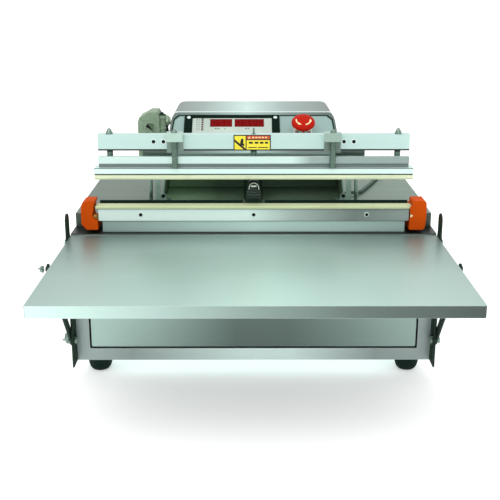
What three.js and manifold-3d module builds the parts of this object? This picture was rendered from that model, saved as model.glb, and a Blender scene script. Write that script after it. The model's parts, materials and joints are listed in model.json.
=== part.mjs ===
// Table-top vacuum packing machine with an outside suction nozzle and a 500 mm heat-seal bar.
// Lengths are millimetres, +X to the machine's right, +Y to its back, +Z up.
// The origin lies on the surface the feet stand on, under the middle of the whole machine.

import * as THREE from 'three';
import { mergeVertices } from 'three/addons/utils/BufferGeometryUtils.js';
import Module from 'manifold-3d';

// ---- Driving dimensions -------------------------------------------------------------------

const SEAL_LENGTH = 500;
const CABINET_WIDTH = 580;
const CABINET_DEPTH = 400;
const CABINET_HEIGHT = 216.5;
const FOOT_HEIGHT = 25;
const SHEET = 1.5;
const GAP = 0.3;
const LEDGE_DEPTH = 49;
const DECK_RISE = 21;
const TRAY_REACH = 325;
const TRAY_LIP = 16.5;
const TRAY_BACK_GAP = 3;
const TRAY_DROP = 2;

const HEAD_FRONT = 124;
const HEAD_BACK = 350;
const HEAD_TOP = 163;
const HEAD_HALF_AT_DECK = 157;
const HEAD_LEAN = 0.1108;
const PANEL_FOOT = 106;
const PANEL_RUN = 88;

const BEAM_BOTTOM = 130.4;
const BEAM_HEIGHT = 25;
const BEAM_DEPTH = 16;
const BEAM_FRONT = 15;
const BEAM_HALF = 242.8;
const ROD_X = 167.5;
const ROD_Y = 62;
const ROD_RADIUS = 3.2;
const HANGER_X = 122.6;
const HANGER_Y = 5;
const HANGER_RADIUS = 4.6;
const ADJUSTER_X = 225.4;

const SLOT_Y = -16;
const SLOT_WIDTH = 6.6;
const PIVOT_Z = -8;
const BRACE_REACH = 135;
const BRACE_DROP = 165;
const BOLT_RADIUS = 3;

const HALF = CABINET_WIDTH / 2;
const LEDGE_HEIGHT = FOOT_HEIGHT + CABINET_HEIGHT;
const CABINET_FRONT_Y = -(CABINET_DEPTH - TRAY_REACH) / 2;
const PANEL_TILT = Math.atan2(HEAD_TOP - PANEL_FOOT, PANEL_RUN);
const PANEL_LENGTH = Math.hypot(HEAD_TOP - PANEL_FOOT, PANEL_RUN);

// ---- Materials ----------------------------------------------------------------------------

function finish(color, roughness, metalness) {
  return () => new THREE.MeshStandardMaterial({ color, roughness, metalness });
}

const paintedSteel = finish(0xa9bdb3, 0.42, 0.35);
const darkSteel = finish(0x4b6156, 0.5, 0.6);
const aluminium = finish(0xcbe2da, 0.32, 0.8);
const brightSteel = finish(0xc8ccc9, 0.25, 0.95);
const rubber = finish(0x0c1f1a, 0.8, 0);
const sealSilicone = finish(0xccd6ae, 0.65, 0);
const orangePlastic = finish(0xc4511c, 0.45, 0);
const blackPlastic = finish(0x14201b, 0.25, 0);
const greyPlastic = finish(0xb9c7bf, 0.5, 0);
const redPlastic = finish(0xd22c1c, 0.35, 0);
const redDisplay = finish(0x8a1212, 0.2, 0);
const greenCasting = finish(0x8ca58c, 0.6, 0.2);
const nichrome = finish(0x8d8a84, 0.4, 0.9);
const copperIron = finish(0x6b4a3a, 0.6, 0.4);

// ---- Geometry helpers ---------------------------------------------------------------------

const wasm = await Module();
wasm.setup();

function toSolid(geometry) {
  const bare = geometry.clone();
  bare.deleteAttribute('normal');
  bare.deleteAttribute('uv');
  const merged = mergeVertices(bare, 1e-4);
  return new wasm.Manifold(new wasm.Mesh({
    numProp: 3,
    vertProperties: new Float32Array(merged.attributes.position.array),
    triVerts: new Uint32Array(merged.index.array),
  }));
}

function toGeometry(solid) {
  const mesh = solid.getMesh();
  const geometry = new THREE.BufferGeometry();
  geometry.setAttribute('position', new THREE.BufferAttribute(new Float32Array(mesh.vertProperties), 3));
  geometry.setIndex(new THREE.BufferAttribute(new Uint32Array(mesh.triVerts), 1));
  geometry.computeVertexNormals();
  return geometry;
}

function join(first, ...others) {
  return toGeometry(others.reduce((solid, other) => solid.add(toSolid(other)), toSolid(first)));
}

function cut(first, ...others) {
  return toGeometry(others.reduce((solid, other) => solid.subtract(toSolid(other)), toSolid(first)));
}

function common(first, second) {
  return toGeometry(toSolid(first).intersect(toSolid(second)));
}

// A box between two corners.
function box(x0, x1, y0, y1, z0, z1) {
  const geometry = new THREE.BoxGeometry(x1 - x0, y1 - y0, z1 - z0);
  return geometry.translate((x0 + x1) / 2, (y0 + y1) / 2, (z0 + z1) / 2);
}

// A cylinder along an axis, from one end to the other, with its centre line at (a, b) on the other two axes.
function round(axis, radius, from, to, a, b, segments = 20) {
  const geometry = new THREE.CylinderGeometry(radius, radius, to - from, segments);
  const middle = (from + to) / 2;
  if (axis === 'x') return geometry.rotateZ(-Math.PI / 2).translate(middle, a, b);
  if (axis === 'y') return geometry.translate(a, middle, b);
  return geometry.rotateX(Math.PI / 2).translate(a, b, middle);
}

function outline(points) {
  return new THREE.Shape(points.map(([u, v]) => new THREE.Vector2(u, v)));
}

function roundedRect(u0, u1, v0, v1, r) {
  const shape = new THREE.Shape();
  shape.absarc(u1 - r, v0 + r, r, -Math.PI / 2, 0);
  shape.absarc(u1 - r, v1 - r, r, 0, Math.PI / 2);
  shape.absarc(u0 + r, v1 - r, r, Math.PI / 2, Math.PI);
  shape.absarc(u0 + r, v0 + r, r, Math.PI, Math.PI * 1.5);
  shape.closePath();
  return shape;
}

// An outline pushed along an axis. Its own two directions are the other two axes: YZ, XZ or XY.
function prism(shape, axis, from, to, curveSegments = 4) {
  const geometry = new THREE.ExtrudeGeometry(shape, { depth: to - from, bevelEnabled: false, curveSegments });
  const X = new THREE.Vector3(1, 0, 0);
  const Y = new THREE.Vector3(0, 1, 0);
  const Z = new THREE.Vector3(0, 0, 1);
  if (axis === 'x') {
    return geometry.applyMatrix4(new THREE.Matrix4().makeBasis(Y, Z, X)).translate(from, 0, 0);
  }
  if (axis === 'y') {
    return geometry.applyMatrix4(new THREE.Matrix4().makeBasis(X, Z, Y.negate())).translate(0, to, 0);
  }
  return geometry.translate(0, 0, from);
}

// A turned piece on the Z axis; the profile holds [radius, height] pairs from the foot up.
function turned(profile, segments = 20) {
  const points = profile.map(([r, z]) => new THREE.Vector2(r, z));
  return new THREE.LatheGeometry(points, segments).rotateX(Math.PI / 2);
}

// A piece built for the right side, mirrored for the left.
function sided(sign, geometry) {
  return sign < 0 ? toGeometry(toSolid(geometry).mirror([1, 0, 0])) : geometry;
}

function place(group, name, geometry, material, position = [0, 0, 0]) {
  const mesh = new THREE.Mesh(geometry, material());
  mesh.name = name;
  mesh.position.set(...position);
  group.add(mesh);
  return mesh;
}

const SIDES = [['left', -1], ['right', 1]];

// ---- Groups -------------------------------------------------------------------------------

// Everything hangs in one group whose zero is the cabinet's front face at the ledge's top.
const machine = new THREE.Group();
const station = new THREE.Group();
station.position.set(0, CABINET_FRONT_Y, LEDGE_HEIGHT);
machine.add(station);

// ---- Cabinet ------------------------------------------------------------------------------

const CABINET_TOP = -SHEET - GAP;
const WINDOW_HALF = 269;
const WINDOW_BOTTOM = -196;
const WINDOW_TOP = -28;
const PANEL_JOINT = 3;

function cabinetBody() {
  const outer = box(-HALF, HALF, 0, CABINET_DEPTH, -CABINET_HEIGHT, CABINET_TOP);
  const hollow = box(-HALF + SHEET, HALF - SHEET, SHEET, CABINET_DEPTH + 1, -CABINET_HEIGHT + SHEET, 1);
  const frontWindow = prism(roundedRect(-WINDOW_HALF, WINDOW_HALF, WINDOW_BOTTOM, WINDOW_TOP, 3), 'y', -1, 2);
  return cut(outer, hollow, frontWindow);
}

// The stepped top: a low ledge in front for the seal bar, then the raised deck.
// The air hose between its two fittings: a collar in the head's side and an elbow on the deck.
const HOSE_RADIUS = 3;
const HOSE_RISE = 5.6;
const HOSE_START_X = 164;
const HOSE_START_Y = 174;
const FITTING_RADIUS = 5;
const ELBOW_X = 251;
const ELBOW_Y = 357;
const ELBOW_RADIUS = 6;
const ELBOW_HEIGHT = 12;

function deckPlate() {
  const steps = outline([
    [0, -SHEET], [CABINET_DEPTH, -SHEET], [CABINET_DEPTH, DECK_RISE],
    [LEDGE_DEPTH, DECK_RISE], [LEDGE_DEPTH, 0], [0, 0],
  ]);
  const inner = HALF - SHEET;
  const under = box(-inner, inner, LEDGE_DEPTH + SHEET, CABINET_DEPTH - SHEET, -5, DECK_RISE - SHEET);
  const holes = SIDES.map(([, side]) => round('z', 9.5, -5, 30, side * ROD_X, ROD_Y));
  const elbow = round('z', ELBOW_RADIUS, DECK_RISE - SHEET / 2, DECK_RISE + ELBOW_HEIGHT, ELBOW_X, ELBOW_Y);
  return join(cut(prism(steps, 'x', -HALF, HALF), under, ...holes), elbow);
}

function frontPanel() {
  const half = WINDOW_HALF - PANEL_JOINT;
  const low = WINDOW_BOTTOM + PANEL_JOINT;
  const high = WINDOW_TOP - PANEL_JOINT;
  const pan = prism(roundedRect(-half, half, low, high, 2.2), 'y', 0, 12);
  const rim = roundedRect(-half + SHEET, half - SHEET, low + SHEET, high - SHEET, 1.2);
  const inside = prism(rim, 'y', SHEET, 13);
  return cut(pan, inside);
}

function rearPanel() {
  const half = HALF - SHEET - GAP;
  const plate = box(-half, half, 0, SHEET, -CABINET_HEIGHT + SHEET + GAP, CABINET_TOP);
  const slots = [];
  for (const x of [-130, 130]) {
    for (let row = 0; row < 6; row += 1) {
      slots.push(prism(roundedRect(x - 45, x + 45, -70 - row * 13, -65 - row * 13, 2.4), 'y', -1, 3, 2));
    }
  }
  const inletHole = box(194.7, 245.3, -1, 3, -185.3, -154.7);
  return cut(plate, ...slots, inletHole);
}

place(station, 'cabinet_body', cabinetBody(), paintedSteel);
place(station, 'deck_plate', deckPlate(), paintedSteel);
place(station, 'front_panel', frontPanel(), paintedSteel, [0, 1, 0]);
place(station, 'rear_panel', rearPanel(), paintedSteel, [0, CABINET_DEPTH - 2 * SHEET, 0]);

const FOOT_X = 257;
const FOOT_INSET = 26;

function rubberFoot() {
  const top = FOOT_HEIGHT - GAP;
  return turned([[0, 0], [10, 0], [14, 1.2], [17.2, 5], [19.2, 11], [20, 18], [20, top], [0, top]], 24);
}

for (const [side, sign] of SIDES) {
  for (const [end, y] of [['front', FOOT_INSET], ['rear', CABINET_DEPTH - FOOT_INSET]]) {
    const at = [sign * FOOT_X, y, -LEDGE_HEIGHT];
    place(station, `foot_${end}_${side}`, rubberFoot(), rubber, at);
  }
}

// Mains inlet in the rear panel, open to the back.
function powerInlet() {
  const flange = box(-25, 25, 0, 2, -15, 15);
  const body = box(-24, 24, -18, 0.5, -14, 14);
  const socket = prism(roundedRect(-12, 12, -8, 8, 3), 'y', -14, 3);
  return cut(join(flange, body), socket);
}

place(station, 'power_inlet', powerInlet(), blackPlastic, [220, CABINET_DEPTH - SHEET + GAP, -170]);

// Vacuum pump motor and impulse transformer, standing on the cabinet floor.
const FLOOR = -CABINET_HEIGHT + SHEET + GAP;

function pumpMotor() {
  const barrel = round('x', 46, -75, 75, 0, 60, 24);
  const endBell = round('x', 38, 70, 92, 0, 60, 24);
  const foot = box(-55, 55, -35, 35, 0, 40);
  return join(barrel, endBell, foot);
}

function transformer() {
  const core = box(-45, 45, -30, 30, 0, 76);
  const coil = box(-24, 24, -42, 42, 14, 62);
  return join(core, coil);
}

place(station, 'pump_motor', pumpMotor(), darkSteel, [-120, 250, FLOOR]);
place(station, 'impulse_transformer', transformer(), copperIron, [110, 260, FLOOR]);

// ---- Lower seal bar -----------------------------------------------------------------------

const SUPPORT_TOP = 18.7;
const BAR_FRONT = 6.6;
const BAR_BACK = 32;
const LOWER_BAR_TOP = 38.7;
const PAD_HALF = SEAL_LENGTH / 2 + 0.3;
const PAD_TOP = 43.1;

function lowerSupport() {
  const channel = outline([
    [9.5, GAP], [12, GAP], [12, 16], [31, 16], [31, GAP], [33.5, GAP], [33.5, SUPPORT_TOP],
    [9.5, SUPPORT_TOP],
  ]);
  return prism(channel, 'x', -240.3, 240.3);
}

function lowerBar() {
  const section = outline([
    [BAR_FRONT + 0.8, SUPPORT_TOP + GAP], [BAR_BACK, SUPPORT_TOP + GAP], [BAR_BACK, LOWER_BAR_TOP],
    [BAR_FRONT, LOWER_BAR_TOP], [BAR_FRONT, LOWER_BAR_TOP - 3], [BAR_FRONT + 0.8, LOWER_BAR_TOP - 4],
  ]);
  return prism(section, 'x', -246, 246);
}

// The cream pad bridges the heating strip, which lies in a groove on its underside.
function lowerPad() {
  const foot = LOWER_BAR_TOP + GAP;
  const roof = foot + 1.3;
  const section = outline([
    [BAR_FRONT, foot], [13.4, foot], [13.4, roof], [22.6, roof], [22.6, foot], [28.2, foot],
    [28.2, PAD_TOP - 1.2], [27, PAD_TOP], [BAR_FRONT + 1.6, PAD_TOP], [BAR_FRONT, PAD_TOP - 1.6],
  ]);
  return prism(section, 'x', -PAD_HALF, PAD_HALF);
}

place(station, 'lower_jaw_support', lowerSupport(), paintedSteel);
place(station, 'lower_jaw_bar', lowerBar(), aluminium);
place(station, 'lower_seal_pad', lowerPad(), sealSilicone);
place(station, 'heating_strip', box(-246, 246, 14, 22, LOWER_BAR_TOP + GAP, LOWER_BAR_TOP + 1.3), nichrome);

const CAP_FRONT = 4;
const CAP_BACK = 37;

// The left cap is hollowed round the strip's terminal screw; the right one has only a small notch.
function leftCap() {
  const shape = outline([
    [-247, 5], [-247, 19], [-254.5, 26], [-255, 31], [-253, 38], [-253, 43.5], [-250.3, 50.5], [-251.5, 52],
    [-266, 52], [-270, 49.5], [-272, 45], [-273, 38], [-273, 14], [-265, 5],
  ]);
  return prism(shape, 'y', CAP_FRONT, CAP_BACK);
}

function rightCap() {
  const shape = outline([
    [246.7, 5], [268, 5], [271.5, 8], [273, 22], [273, 38], [272.6, 48.5], [270, 52], [251.5, 52],
    [250.3, 49], [250.3, 44], [247, 44], [247, 31.5], [251.5, 28], [247, 24.5],
  ]);
  const padEnd = box(240, 251.2, 6, 29, 38.3, 44);
  return cut(prism(shape, 'y', CAP_FRONT, CAP_BACK), padEnd);
}

place(station, 'end_cap_left', leftCap(), orangePlastic);
place(station, 'end_cap_right', rightCap(), orangePlastic);

// ---- Press: beam, upper seal bar and pneumatic cylinders ------------------------------------

const press = new THREE.Group();
station.add(press);

const UPPER_PAD_BOTTOM = 85.3;
const NOSE_BOTTOM = 93.2;
const GROOVE_BOTTOM = 104.4;
const GROOVE_TOP = 110.8;
const FLANGE_TOP = 121.8;
const BODY_TOP = 115;
const FLANGE_HALF = 242.8;
const NOSE_HALF = 249.5;
const ADJUSTER_Y = 23;
const ADJUSTER_RADIUS = 5.2;
const ARM_TOP = 160.4;
const CLAMP_BOTTOM = 118;
const CLAMP_TOP = 142;
const ROD_TOP = 144;

function pressBeam() {
  const wall = 2.5;
  const tube = box(-BEAM_HALF, BEAM_HALF, 0, BEAM_DEPTH, 0, BEAM_HEIGHT);
  const bore = box(-BEAM_HALF - 1, BEAM_HALF + 1, wall, BEAM_DEPTH - wall, wall, BEAM_HEIGHT - wall);
  const holes = [-ADJUSTER_X, 0, ADJUSTER_X].map((x) => (
    round('z', 4.5, -1, BEAM_HEIGHT + 1, x, ADJUSTER_Y - BEAM_FRONT)
  ));
  return cut(tube, bore, ...holes);
}

// Extruded bar: a nose over the pad, a groove along its front and an upright lip above the groove.
function upperBar() {
  const section = outline([
    [BAR_FRONT + 2, NOSE_BOTTOM], [BAR_BACK, NOSE_BOTTOM], [BAR_BACK, BODY_TOP], [17, BODY_TOP],
    [17, FLANGE_TOP], [10, FLANGE_TOP], [10, GROOVE_TOP], [14, GROOVE_TOP], [14, GROOVE_BOTTOM],
    [BAR_FRONT, GROOVE_BOTTOM], [BAR_FRONT, NOSE_BOTTOM + 2],
  ]);
  const ends = SIDES.map(([, side]) => {
    const [near, far] = [side * FLANGE_HALF, side * (NOSE_HALF + 5)];
    return box(Math.min(near, far), Math.max(near, far), 0, BAR_BACK + 1, GROOVE_BOTTOM, FLANGE_TOP + 1);
  });
  return cut(prism(section, 'x', -NOSE_HALF, NOSE_HALF), ...ends);
}

function upperPad() {
  const top = NOSE_BOTTOM - GAP;
  const section = outline([
    [8, top], [8, UPPER_PAD_BOTTOM + 2], [10, UPPER_PAD_BOTTOM], [28, UPPER_PAD_BOTTOM],
    [30, UPPER_PAD_BOTTOM + 2], [30, top],
  ]);
  return prism(section, 'x', -NOSE_HALF, NOSE_HALF);
}

// One arm a side: the block in front holds the hanger stud, and a strap leads under the beam to the
// block behind, which clamps the rod.
function pressArm(side) {
  const [inner, outer, far] = [109.4, 135, 175.5];
  const front = BEAM_FRONT - GAP;
  const back = BEAM_FRONT + BEAM_DEPTH + GAP;
  const under = BEAM_BOTTOM - GAP;
  const arm = join(
    box(inner, outer, -1.5, front, 146.7, ARM_TOP),
    box(inner, outer, 10.5, front, under, 150),
    box(outer - 9, outer, 10.5, back + 4, under - 2.4, under),
    box(outer - 9, far, back, 71.5, CLAMP_BOTTOM, CLAMP_TOP),
  );
  const rodHole = round('z', ROD_RADIUS + GAP, 110, 155, ROD_X, ROD_Y);
  const studHole = round('z', HANGER_RADIUS + GAP, 140, 170, HANGER_X, HANGER_Y);
  return sided(side, cut(arm, rodHole, studHole));
}

function hangerStud() {
  const low = GROOVE_BOTTOM + GAP;
  return turned([
    [0, low], [HANGER_RADIUS, low], [HANGER_RADIUS, ARM_TOP + GAP], [3.9, ARM_TOP + 0.8], [3.9, ARM_TOP + 2],
    [2.4, ARM_TOP + 4.4], [0, ARM_TOP + 5],
  ]);
}

// Threaded stud between the upper bar and the beam, with a domed nut above.
function adjuster() {
  const low = BODY_TOP + GAP;
  const nut = BEAM_BOTTOM + BEAM_HEIGHT + GAP;
  return turned([
    [0, low], [ADJUSTER_RADIUS, low], [ADJUSTER_RADIUS, BEAM_BOTTOM - GAP], [4, BEAM_BOTTOM - GAP], [4, nut],
    [5.4, nut], [5.4, nut + 3], [4.2, nut + 5.4], [2.3, nut + 8], [0, nut + 8.8],
  ]);
}

// The middle stud ends in a bare thin thread above the beam.
function middleAdjuster() {
  const low = BODY_TOP + GAP;
  const beamTop = BEAM_BOTTOM + BEAM_HEIGHT;
  return turned([
    [0, low], [ADJUSTER_RADIUS, low], [ADJUSTER_RADIUS, BEAM_BOTTOM - GAP], [4, BEAM_BOTTOM - GAP],
    [4, beamTop], [1.5, beamTop], [1.5, beamTop + 9], [0, beamTop + 9],
  ]);
}

const PISTON_BOTTOM = -32;

function pistonRod() {
  return turned([
    [0, PISTON_BOTTOM], [15.7, PISTON_BOTTOM], [15.7, PISTON_BOTTOM + 12], [ROD_RADIUS, PISTON_BOTTOM + 12],
    [ROD_RADIUS, ROD_TOP], [0, ROD_TOP],
  ]);
}

// Barrel under the deck, with a guide neck that stands a little above it.
function pressCylinder() {
  return turned([
    [0, -110], [20, -110], [20, -8], [9, -8], [9, 27], [ROD_RADIUS + GAP, 27], [ROD_RADIUS + GAP, -13],
    [16, -13], [16, -105], [0, -105],
  ]);
}

place(press, 'press_beam', pressBeam(), aluminium, [0, BEAM_FRONT, BEAM_BOTTOM]);
place(press, 'upper_jaw_bar', upperBar(), aluminium);
place(press, 'upper_seal_pad', upperPad(), sealSilicone);
for (const [side, sign] of SIDES) {
  place(press, `press_arm_${side}`, pressArm(sign), aluminium);
  place(press, `hanger_stud_${side}`, hangerStud(), brightSteel, [sign * HANGER_X, HANGER_Y, 0]);
  place(press, `piston_rod_${side}`, pistonRod(), brightSteel, [sign * ROD_X, ROD_Y, 0]);
  place(station, `press_cylinder_${side}`, pressCylinder(), aluminium, [sign * ROD_X, ROD_Y, 0]);
}
for (const [side, sign] of SIDES) {
  place(press, `adjuster_${side}`, adjuster(), brightSteel, [sign * ADJUSTER_X, ADJUSTER_Y, 0]);
}
place(press, 'adjuster_middle', middleAdjuster(), brightSteel, [0, ADJUSTER_Y, 0]);

// ---- Control head -------------------------------------------------------------------------

// The head's cross-section seen from the front narrows upwards and has rounded shoulders.
function headFront(inset) {
  const foot = HEAD_HALF_AT_DECK - inset;
  const top = HEAD_TOP - inset;
  const shoulder = foot - HEAD_LEAN * (top - DECK_RISE);
  const r = 14 - inset;
  const low = inset > 0 ? DECK_RISE - 10 : DECK_RISE + GAP;
  const shape = new THREE.Shape();
  shape.moveTo(-foot - HEAD_LEAN * (DECK_RISE - low), low);
  shape.lineTo(foot + HEAD_LEAN * (DECK_RISE - low), low);
  shape.lineTo(shoulder + HEAD_LEAN * r, top - r);
  shape.quadraticCurveTo(shoulder, top, shoulder - r, top);
  shape.lineTo(-shoulder + r, top);
  shape.quadraticCurveTo(-shoulder, top, -shoulder - HEAD_LEAN * r, top - r);
  shape.closePath();
  return shape;
}

// Its side has the sloped panel above an open bay. The sheet is folded, so inset is its thickness.
function headSide(inset) {
  const low = inset > 0 ? DECK_RISE - 10 : DECK_RISE + GAP;
  const drop = inset / Math.cos(PANEL_TILT);
  const slope = Math.tan(PANEL_TILT);
  const run = (HEAD_TOP - inset - PANEL_FOOT + drop) / slope;
  return outline([
    [HEAD_FRONT + inset, low], [HEAD_BACK - inset, low], [HEAD_BACK - inset, HEAD_TOP - inset],
    [HEAD_FRONT + run, HEAD_TOP - inset], [HEAD_FRONT + inset, PANEL_FOOT - drop + slope * inset],
  ]);
}

// The area between the head's leaning sides, inset from them, from one height to another.
function leaning(inset, low, high) {
  const [foot, top] = [low, high].map((z) => HEAD_HALF_AT_DECK - inset - HEAD_LEAN * (z - DECK_RISE));
  return outline([[-foot, low], [foot, low], [top, high], [-top, high]]);
}

function headSolid(inset) {
  const front = prism(headFront(inset), 'y', HEAD_FRONT - 5, HEAD_BACK + 5);
  return common(prism(headSide(inset), 'x', -HALF, HALF), front);
}

const BAY_EDGE = 2.4;
const BAY_TOP = 103;
const BAY_DEPTH = 112;

function controlHead() {
  const bay = leaning(BAY_EDGE, DECK_RISE - 6, BAY_TOP);
  const window = prism(panelShape(0.6), 'z', -12, 12);
  window.rotateX(PANEL_TILT).translate(0, HEAD_FRONT, PANEL_FOOT);
  const shell = cut(headSolid(0), headSolid(SHEET), prism(bay, 'y', HEAD_FRONT - 6, HEAD_FRONT + 6), window);
  const wall = HEAD_HALF_AT_DECK - HEAD_LEAN * HOSE_RISE - SHEET / 2;
  const fitting = round('x', FITTING_RADIUS, wall, HOSE_START_X, HOSE_START_Y, DECK_RISE + HOSE_RISE);
  return join(shell, fitting);
}

// The removable control panel: a plate that follows the head's sides, with its upper corners cut off.
const PANEL_LOW = 9;
const PANEL_HIGH = 94;

function panelShape(grow) {
  const [foot, shoulder, top] = [143, 137.5, 129].map((half) => half + grow);
  const low = PANEL_LOW - grow;
  const high = PANEL_HIGH + grow;
  return outline([
    [-foot, low], [foot, low], [shoulder, high - 10], [top, high], [-top, high], [-shoulder, high - 10],
  ]);
}

// Roof, back wall and cheeks of the bay that the nozzle slides in.
function bayLiner() {
  const front = HEAD_FRONT + 4;
  const back = front + BAY_DEPTH;
  const floor = DECK_RISE + GAP;
  const outer = prism(leaning(2.2, floor, BAY_TOP - 1.5), 'y', front, back + 2);
  const inner = prism(leaning(3.7, floor - 5, BAY_TOP - 3), 'y', front - 1, back);
  return cut(outer, inner);
}

const head = new THREE.Group();
station.add(head);
place(head, 'control_head', controlHead(), paintedSteel);
place(head, 'bay_liner', bayLiner(), blackPlastic);

// The panel group's X is the machine's, its Y runs up the slope and its Z stands off the panel.
const panel = new THREE.Group();
panel.position.set(0, HEAD_FRONT, PANEL_FOOT);
panel.rotation.x = PANEL_TILT;
head.add(panel);

const ESTOP_X = 85;
const ESTOP_UP = 51.5;
const KEY_UP = 34;
const KEY_XS = [-78, -50, -22];
const KEY_WIDTH = 18;
const KEY_HEIGHT = 12;
const DISPLAYS = [['display_time', -74.3, -36.6], ['display_heat', -31.8, 18.5]];
const DISPLAY_LOW = 63.9;
const DISPLAY_HIGH = 82.9;

function panelPlate() {
  const plate = prism(panelShape(0), 'z', -SHEET, 0);
  return cut(plate, round('z', 9, -5, 5, ESTOP_X, ESTOP_UP));
}

function panelBezel() {
  const frame = prism(roundedRect(-119.3, 45.9, 16, 93, 2), 'z', GAP, 3);
  const opening = box(-105.3, 32.5, 22, 86, 0, 5);
  return cut(frame, opening);
}

function panelOverlay() {
  const sheet = box(-105, 32.2, 22.3, 85.7, GAP, 1.5);
  const windows = DISPLAYS.map(([, x0, x1]) => (
    box(x0 - GAP, x1 + GAP, DISPLAY_LOW - GAP, DISPLAY_HIGH + GAP, 0, 3)
  ));
  const [halfWidth, halfHeight] = [KEY_WIDTH / 2 + GAP, KEY_HEIGHT / 2 + GAP];
  const keyHoles = KEY_XS.map((x) => {
    const hole = roundedRect(x - halfWidth, x + halfWidth, KEY_UP - halfHeight, KEY_UP + halfHeight, 2);
    return prism(hole, 'z', 0, 3, 2);
  });
  return cut(sheet, ...windows, ...keyHoles);
}

place(panel, 'control_panel', panelPlate(), paintedSteel);
place(panel, 'panel_bezel', panelBezel(), blackPlastic);
place(panel, 'panel_overlay', panelOverlay(), greyPlastic);
for (const [name, x0, x1] of DISPLAYS) {
  place(panel, name, box(x0, x1, DISPLAY_LOW, DISPLAY_HIGH, GAP, 1.9), redDisplay);
}
KEY_XS.forEach((x, index) => {
  const cap = roundedRect(-KEY_WIDTH / 2, KEY_WIDTH / 2, -KEY_HEIGHT / 2, KEY_HEIGHT / 2, 2);
  const key = prism(cap, 'z', 1.2, 3.2, 3);
  place(panel, `panel_key_${index + 1}`, key, greyPlastic, [x, KEY_UP, 0]);
});

// Emergency stop: a fixed collar, a stem that goes in, and the head that turns on it to release.
function estopCollar() {
  return cut(round('z', 14, GAP, 5, 0, 0, 24), round('z', 8.6, -1, 6, 0, 0, 24));
}

function estopButton() {
  return turned([
    [0, 16.3], [12.5, 16.3], [17.5, 18], [20, 20.5], [20, 22.6], [18.2, 25.2], [13.5, 27.6],
    [7, 28.8], [0, 29],
  ], 28);
}

place(panel, 'estop_collar', estopCollar(), brightSteel, [ESTOP_X, ESTOP_UP, 0]);
place(panel, 'estop_stem', round('z', 8, -8, 16, 0, 0), greyPlastic, [ESTOP_X, ESTOP_UP, 0]);
place(panel, 'estop_button', estopButton(), redPlastic, [ESTOP_X, ESTOP_UP, 0]);

// ---- Nozzle -------------------------------------------------------------------------------

const NOZZLE_FRONT = 24.5;
const NOZZLE_BOTTOM = 44;
const NOZZLE_TOP = 80;
const NOZZLE_BACK = 48;
const TUBE_RADIUS = 5;
const TUBE_HEIGHT = 62;
const RAIL_TOP = DECK_RISE + 10;

// Black suction head: narrow shoulders over a flared mouth, with a slot through the mouth for the air.
function nozzleBody() {
  const shape = outline([
    [-12, NOZZLE_BOTTOM], [12, NOZZLE_BOTTOM], [13.7, NOZZLE_BOTTOM + 3], [13.2, NOZZLE_BOTTOM + 12],
    [10.5, NOZZLE_BOTTOM + 22], [9.8, NOZZLE_TOP - 7], [7.5, NOZZLE_TOP - 2], [4, NOZZLE_TOP],
    [-4, NOZZLE_TOP],
    [-7.5, NOZZLE_TOP - 2], [-9.8, NOZZLE_TOP - 7], [-10.5, NOZZLE_BOTTOM + 22], [-13.2, NOZZLE_BOTTOM + 12],
    [-13.7, NOZZLE_BOTTOM + 3],
  ]);
  const mouth = box(-9, 9, NOZZLE_FRONT - 1, NOZZLE_FRONT + 12, NOZZLE_BOTTOM + 2.5, NOZZLE_BOTTOM + 6.5);
  const socket = round('y', TUBE_RADIUS + GAP, NOZZLE_BACK - 10, NOZZLE_BACK + 1, 0, TUBE_HEIGHT);
  return cut(prism(shape, 'y', NOZZLE_FRONT, NOZZLE_BACK), mouth, socket);
}

// Suction tube and the carriage that runs on the rail in the bay.
function nozzleCarriage() {
  const tube = round('y', TUBE_RADIUS, NOZZLE_BACK - 9, 162, 0, TUBE_HEIGHT);
  const block = box(-16, 16, 132, 160, RAIL_TOP - 5, TUBE_HEIGHT + 9);
  const groove = box(-8.4, 8.4, 130, 163, RAIL_TOP - 6, RAIL_TOP + GAP);
  return cut(join(tube, block), groove);
}

const nozzle = new THREE.Group();
station.add(nozzle);
place(nozzle, 'nozzle_head', nozzleBody(), blackPlastic);
place(nozzle, 'nozzle_carriage', nozzleCarriage(), darkSteel);
place(station, 'nozzle_rail', box(-8, 8, 128, 238, DECK_RISE + GAP, RAIL_TOP), brightSteel);

// ---- Pump head and hose on the deck ---------------------------------------------------------

// Cast vacuum valve on the head's left side: a drum on a foot that meets the wall, and a neck into it.
function pumpHead() {
  const wallAt = (z) => -(HEAD_HALF_AT_DECK - HEAD_LEAN * (z - DECK_RISE)) - GAP;
  const shape = new THREE.Shape();
  shape.moveTo(-199, 70);
  shape.lineTo(wallAt(70), 70);
  shape.lineTo(wallAt(112), 112);
  shape.lineTo(-162, 116);
  shape.lineTo(-162, 160);
  shape.lineTo(-166, 166.4);
  shape.lineTo(-179, 166.4);
  shape.lineTo(-187, 161.5);
  shape.lineTo(-196.5, 157);
  shape.lineTo(-199, 150);
  shape.closePath();
  const drum = prism(shape, 'y', 178, 232, 5);
  const valve = round('z', 8, 126, 160, -158, 190);
  const neck = round('x', 6.5, -160, wallAt(143), 192, 150);
  return join(drum, valve, neck);
}

// Air hose from the fitting in the head's side to the elbow at the back of the deck, lying on the deck.
const HOSE_ROUTE = [
  [HOSE_START_X + GAP, HOSE_START_Y, HOSE_RISE], [170, 174.2, 5.3], [178, 176.8, 4.6], [186, 182.6, 3.9],
  [192, 191.5, 3.4], [198.5, 207, 3.3], [208, 231, 3.3], [218, 257, 3.3], [228, 284, 3.3],
  [237, 311, 3.4], [243, 332, 4.4], [ELBOW_X - 4.9, ELBOW_Y - 13.5, 5.4],
  [ELBOW_X - 2.2, ELBOW_Y - ELBOW_RADIUS - GAP, HOSE_RISE],
];

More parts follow.
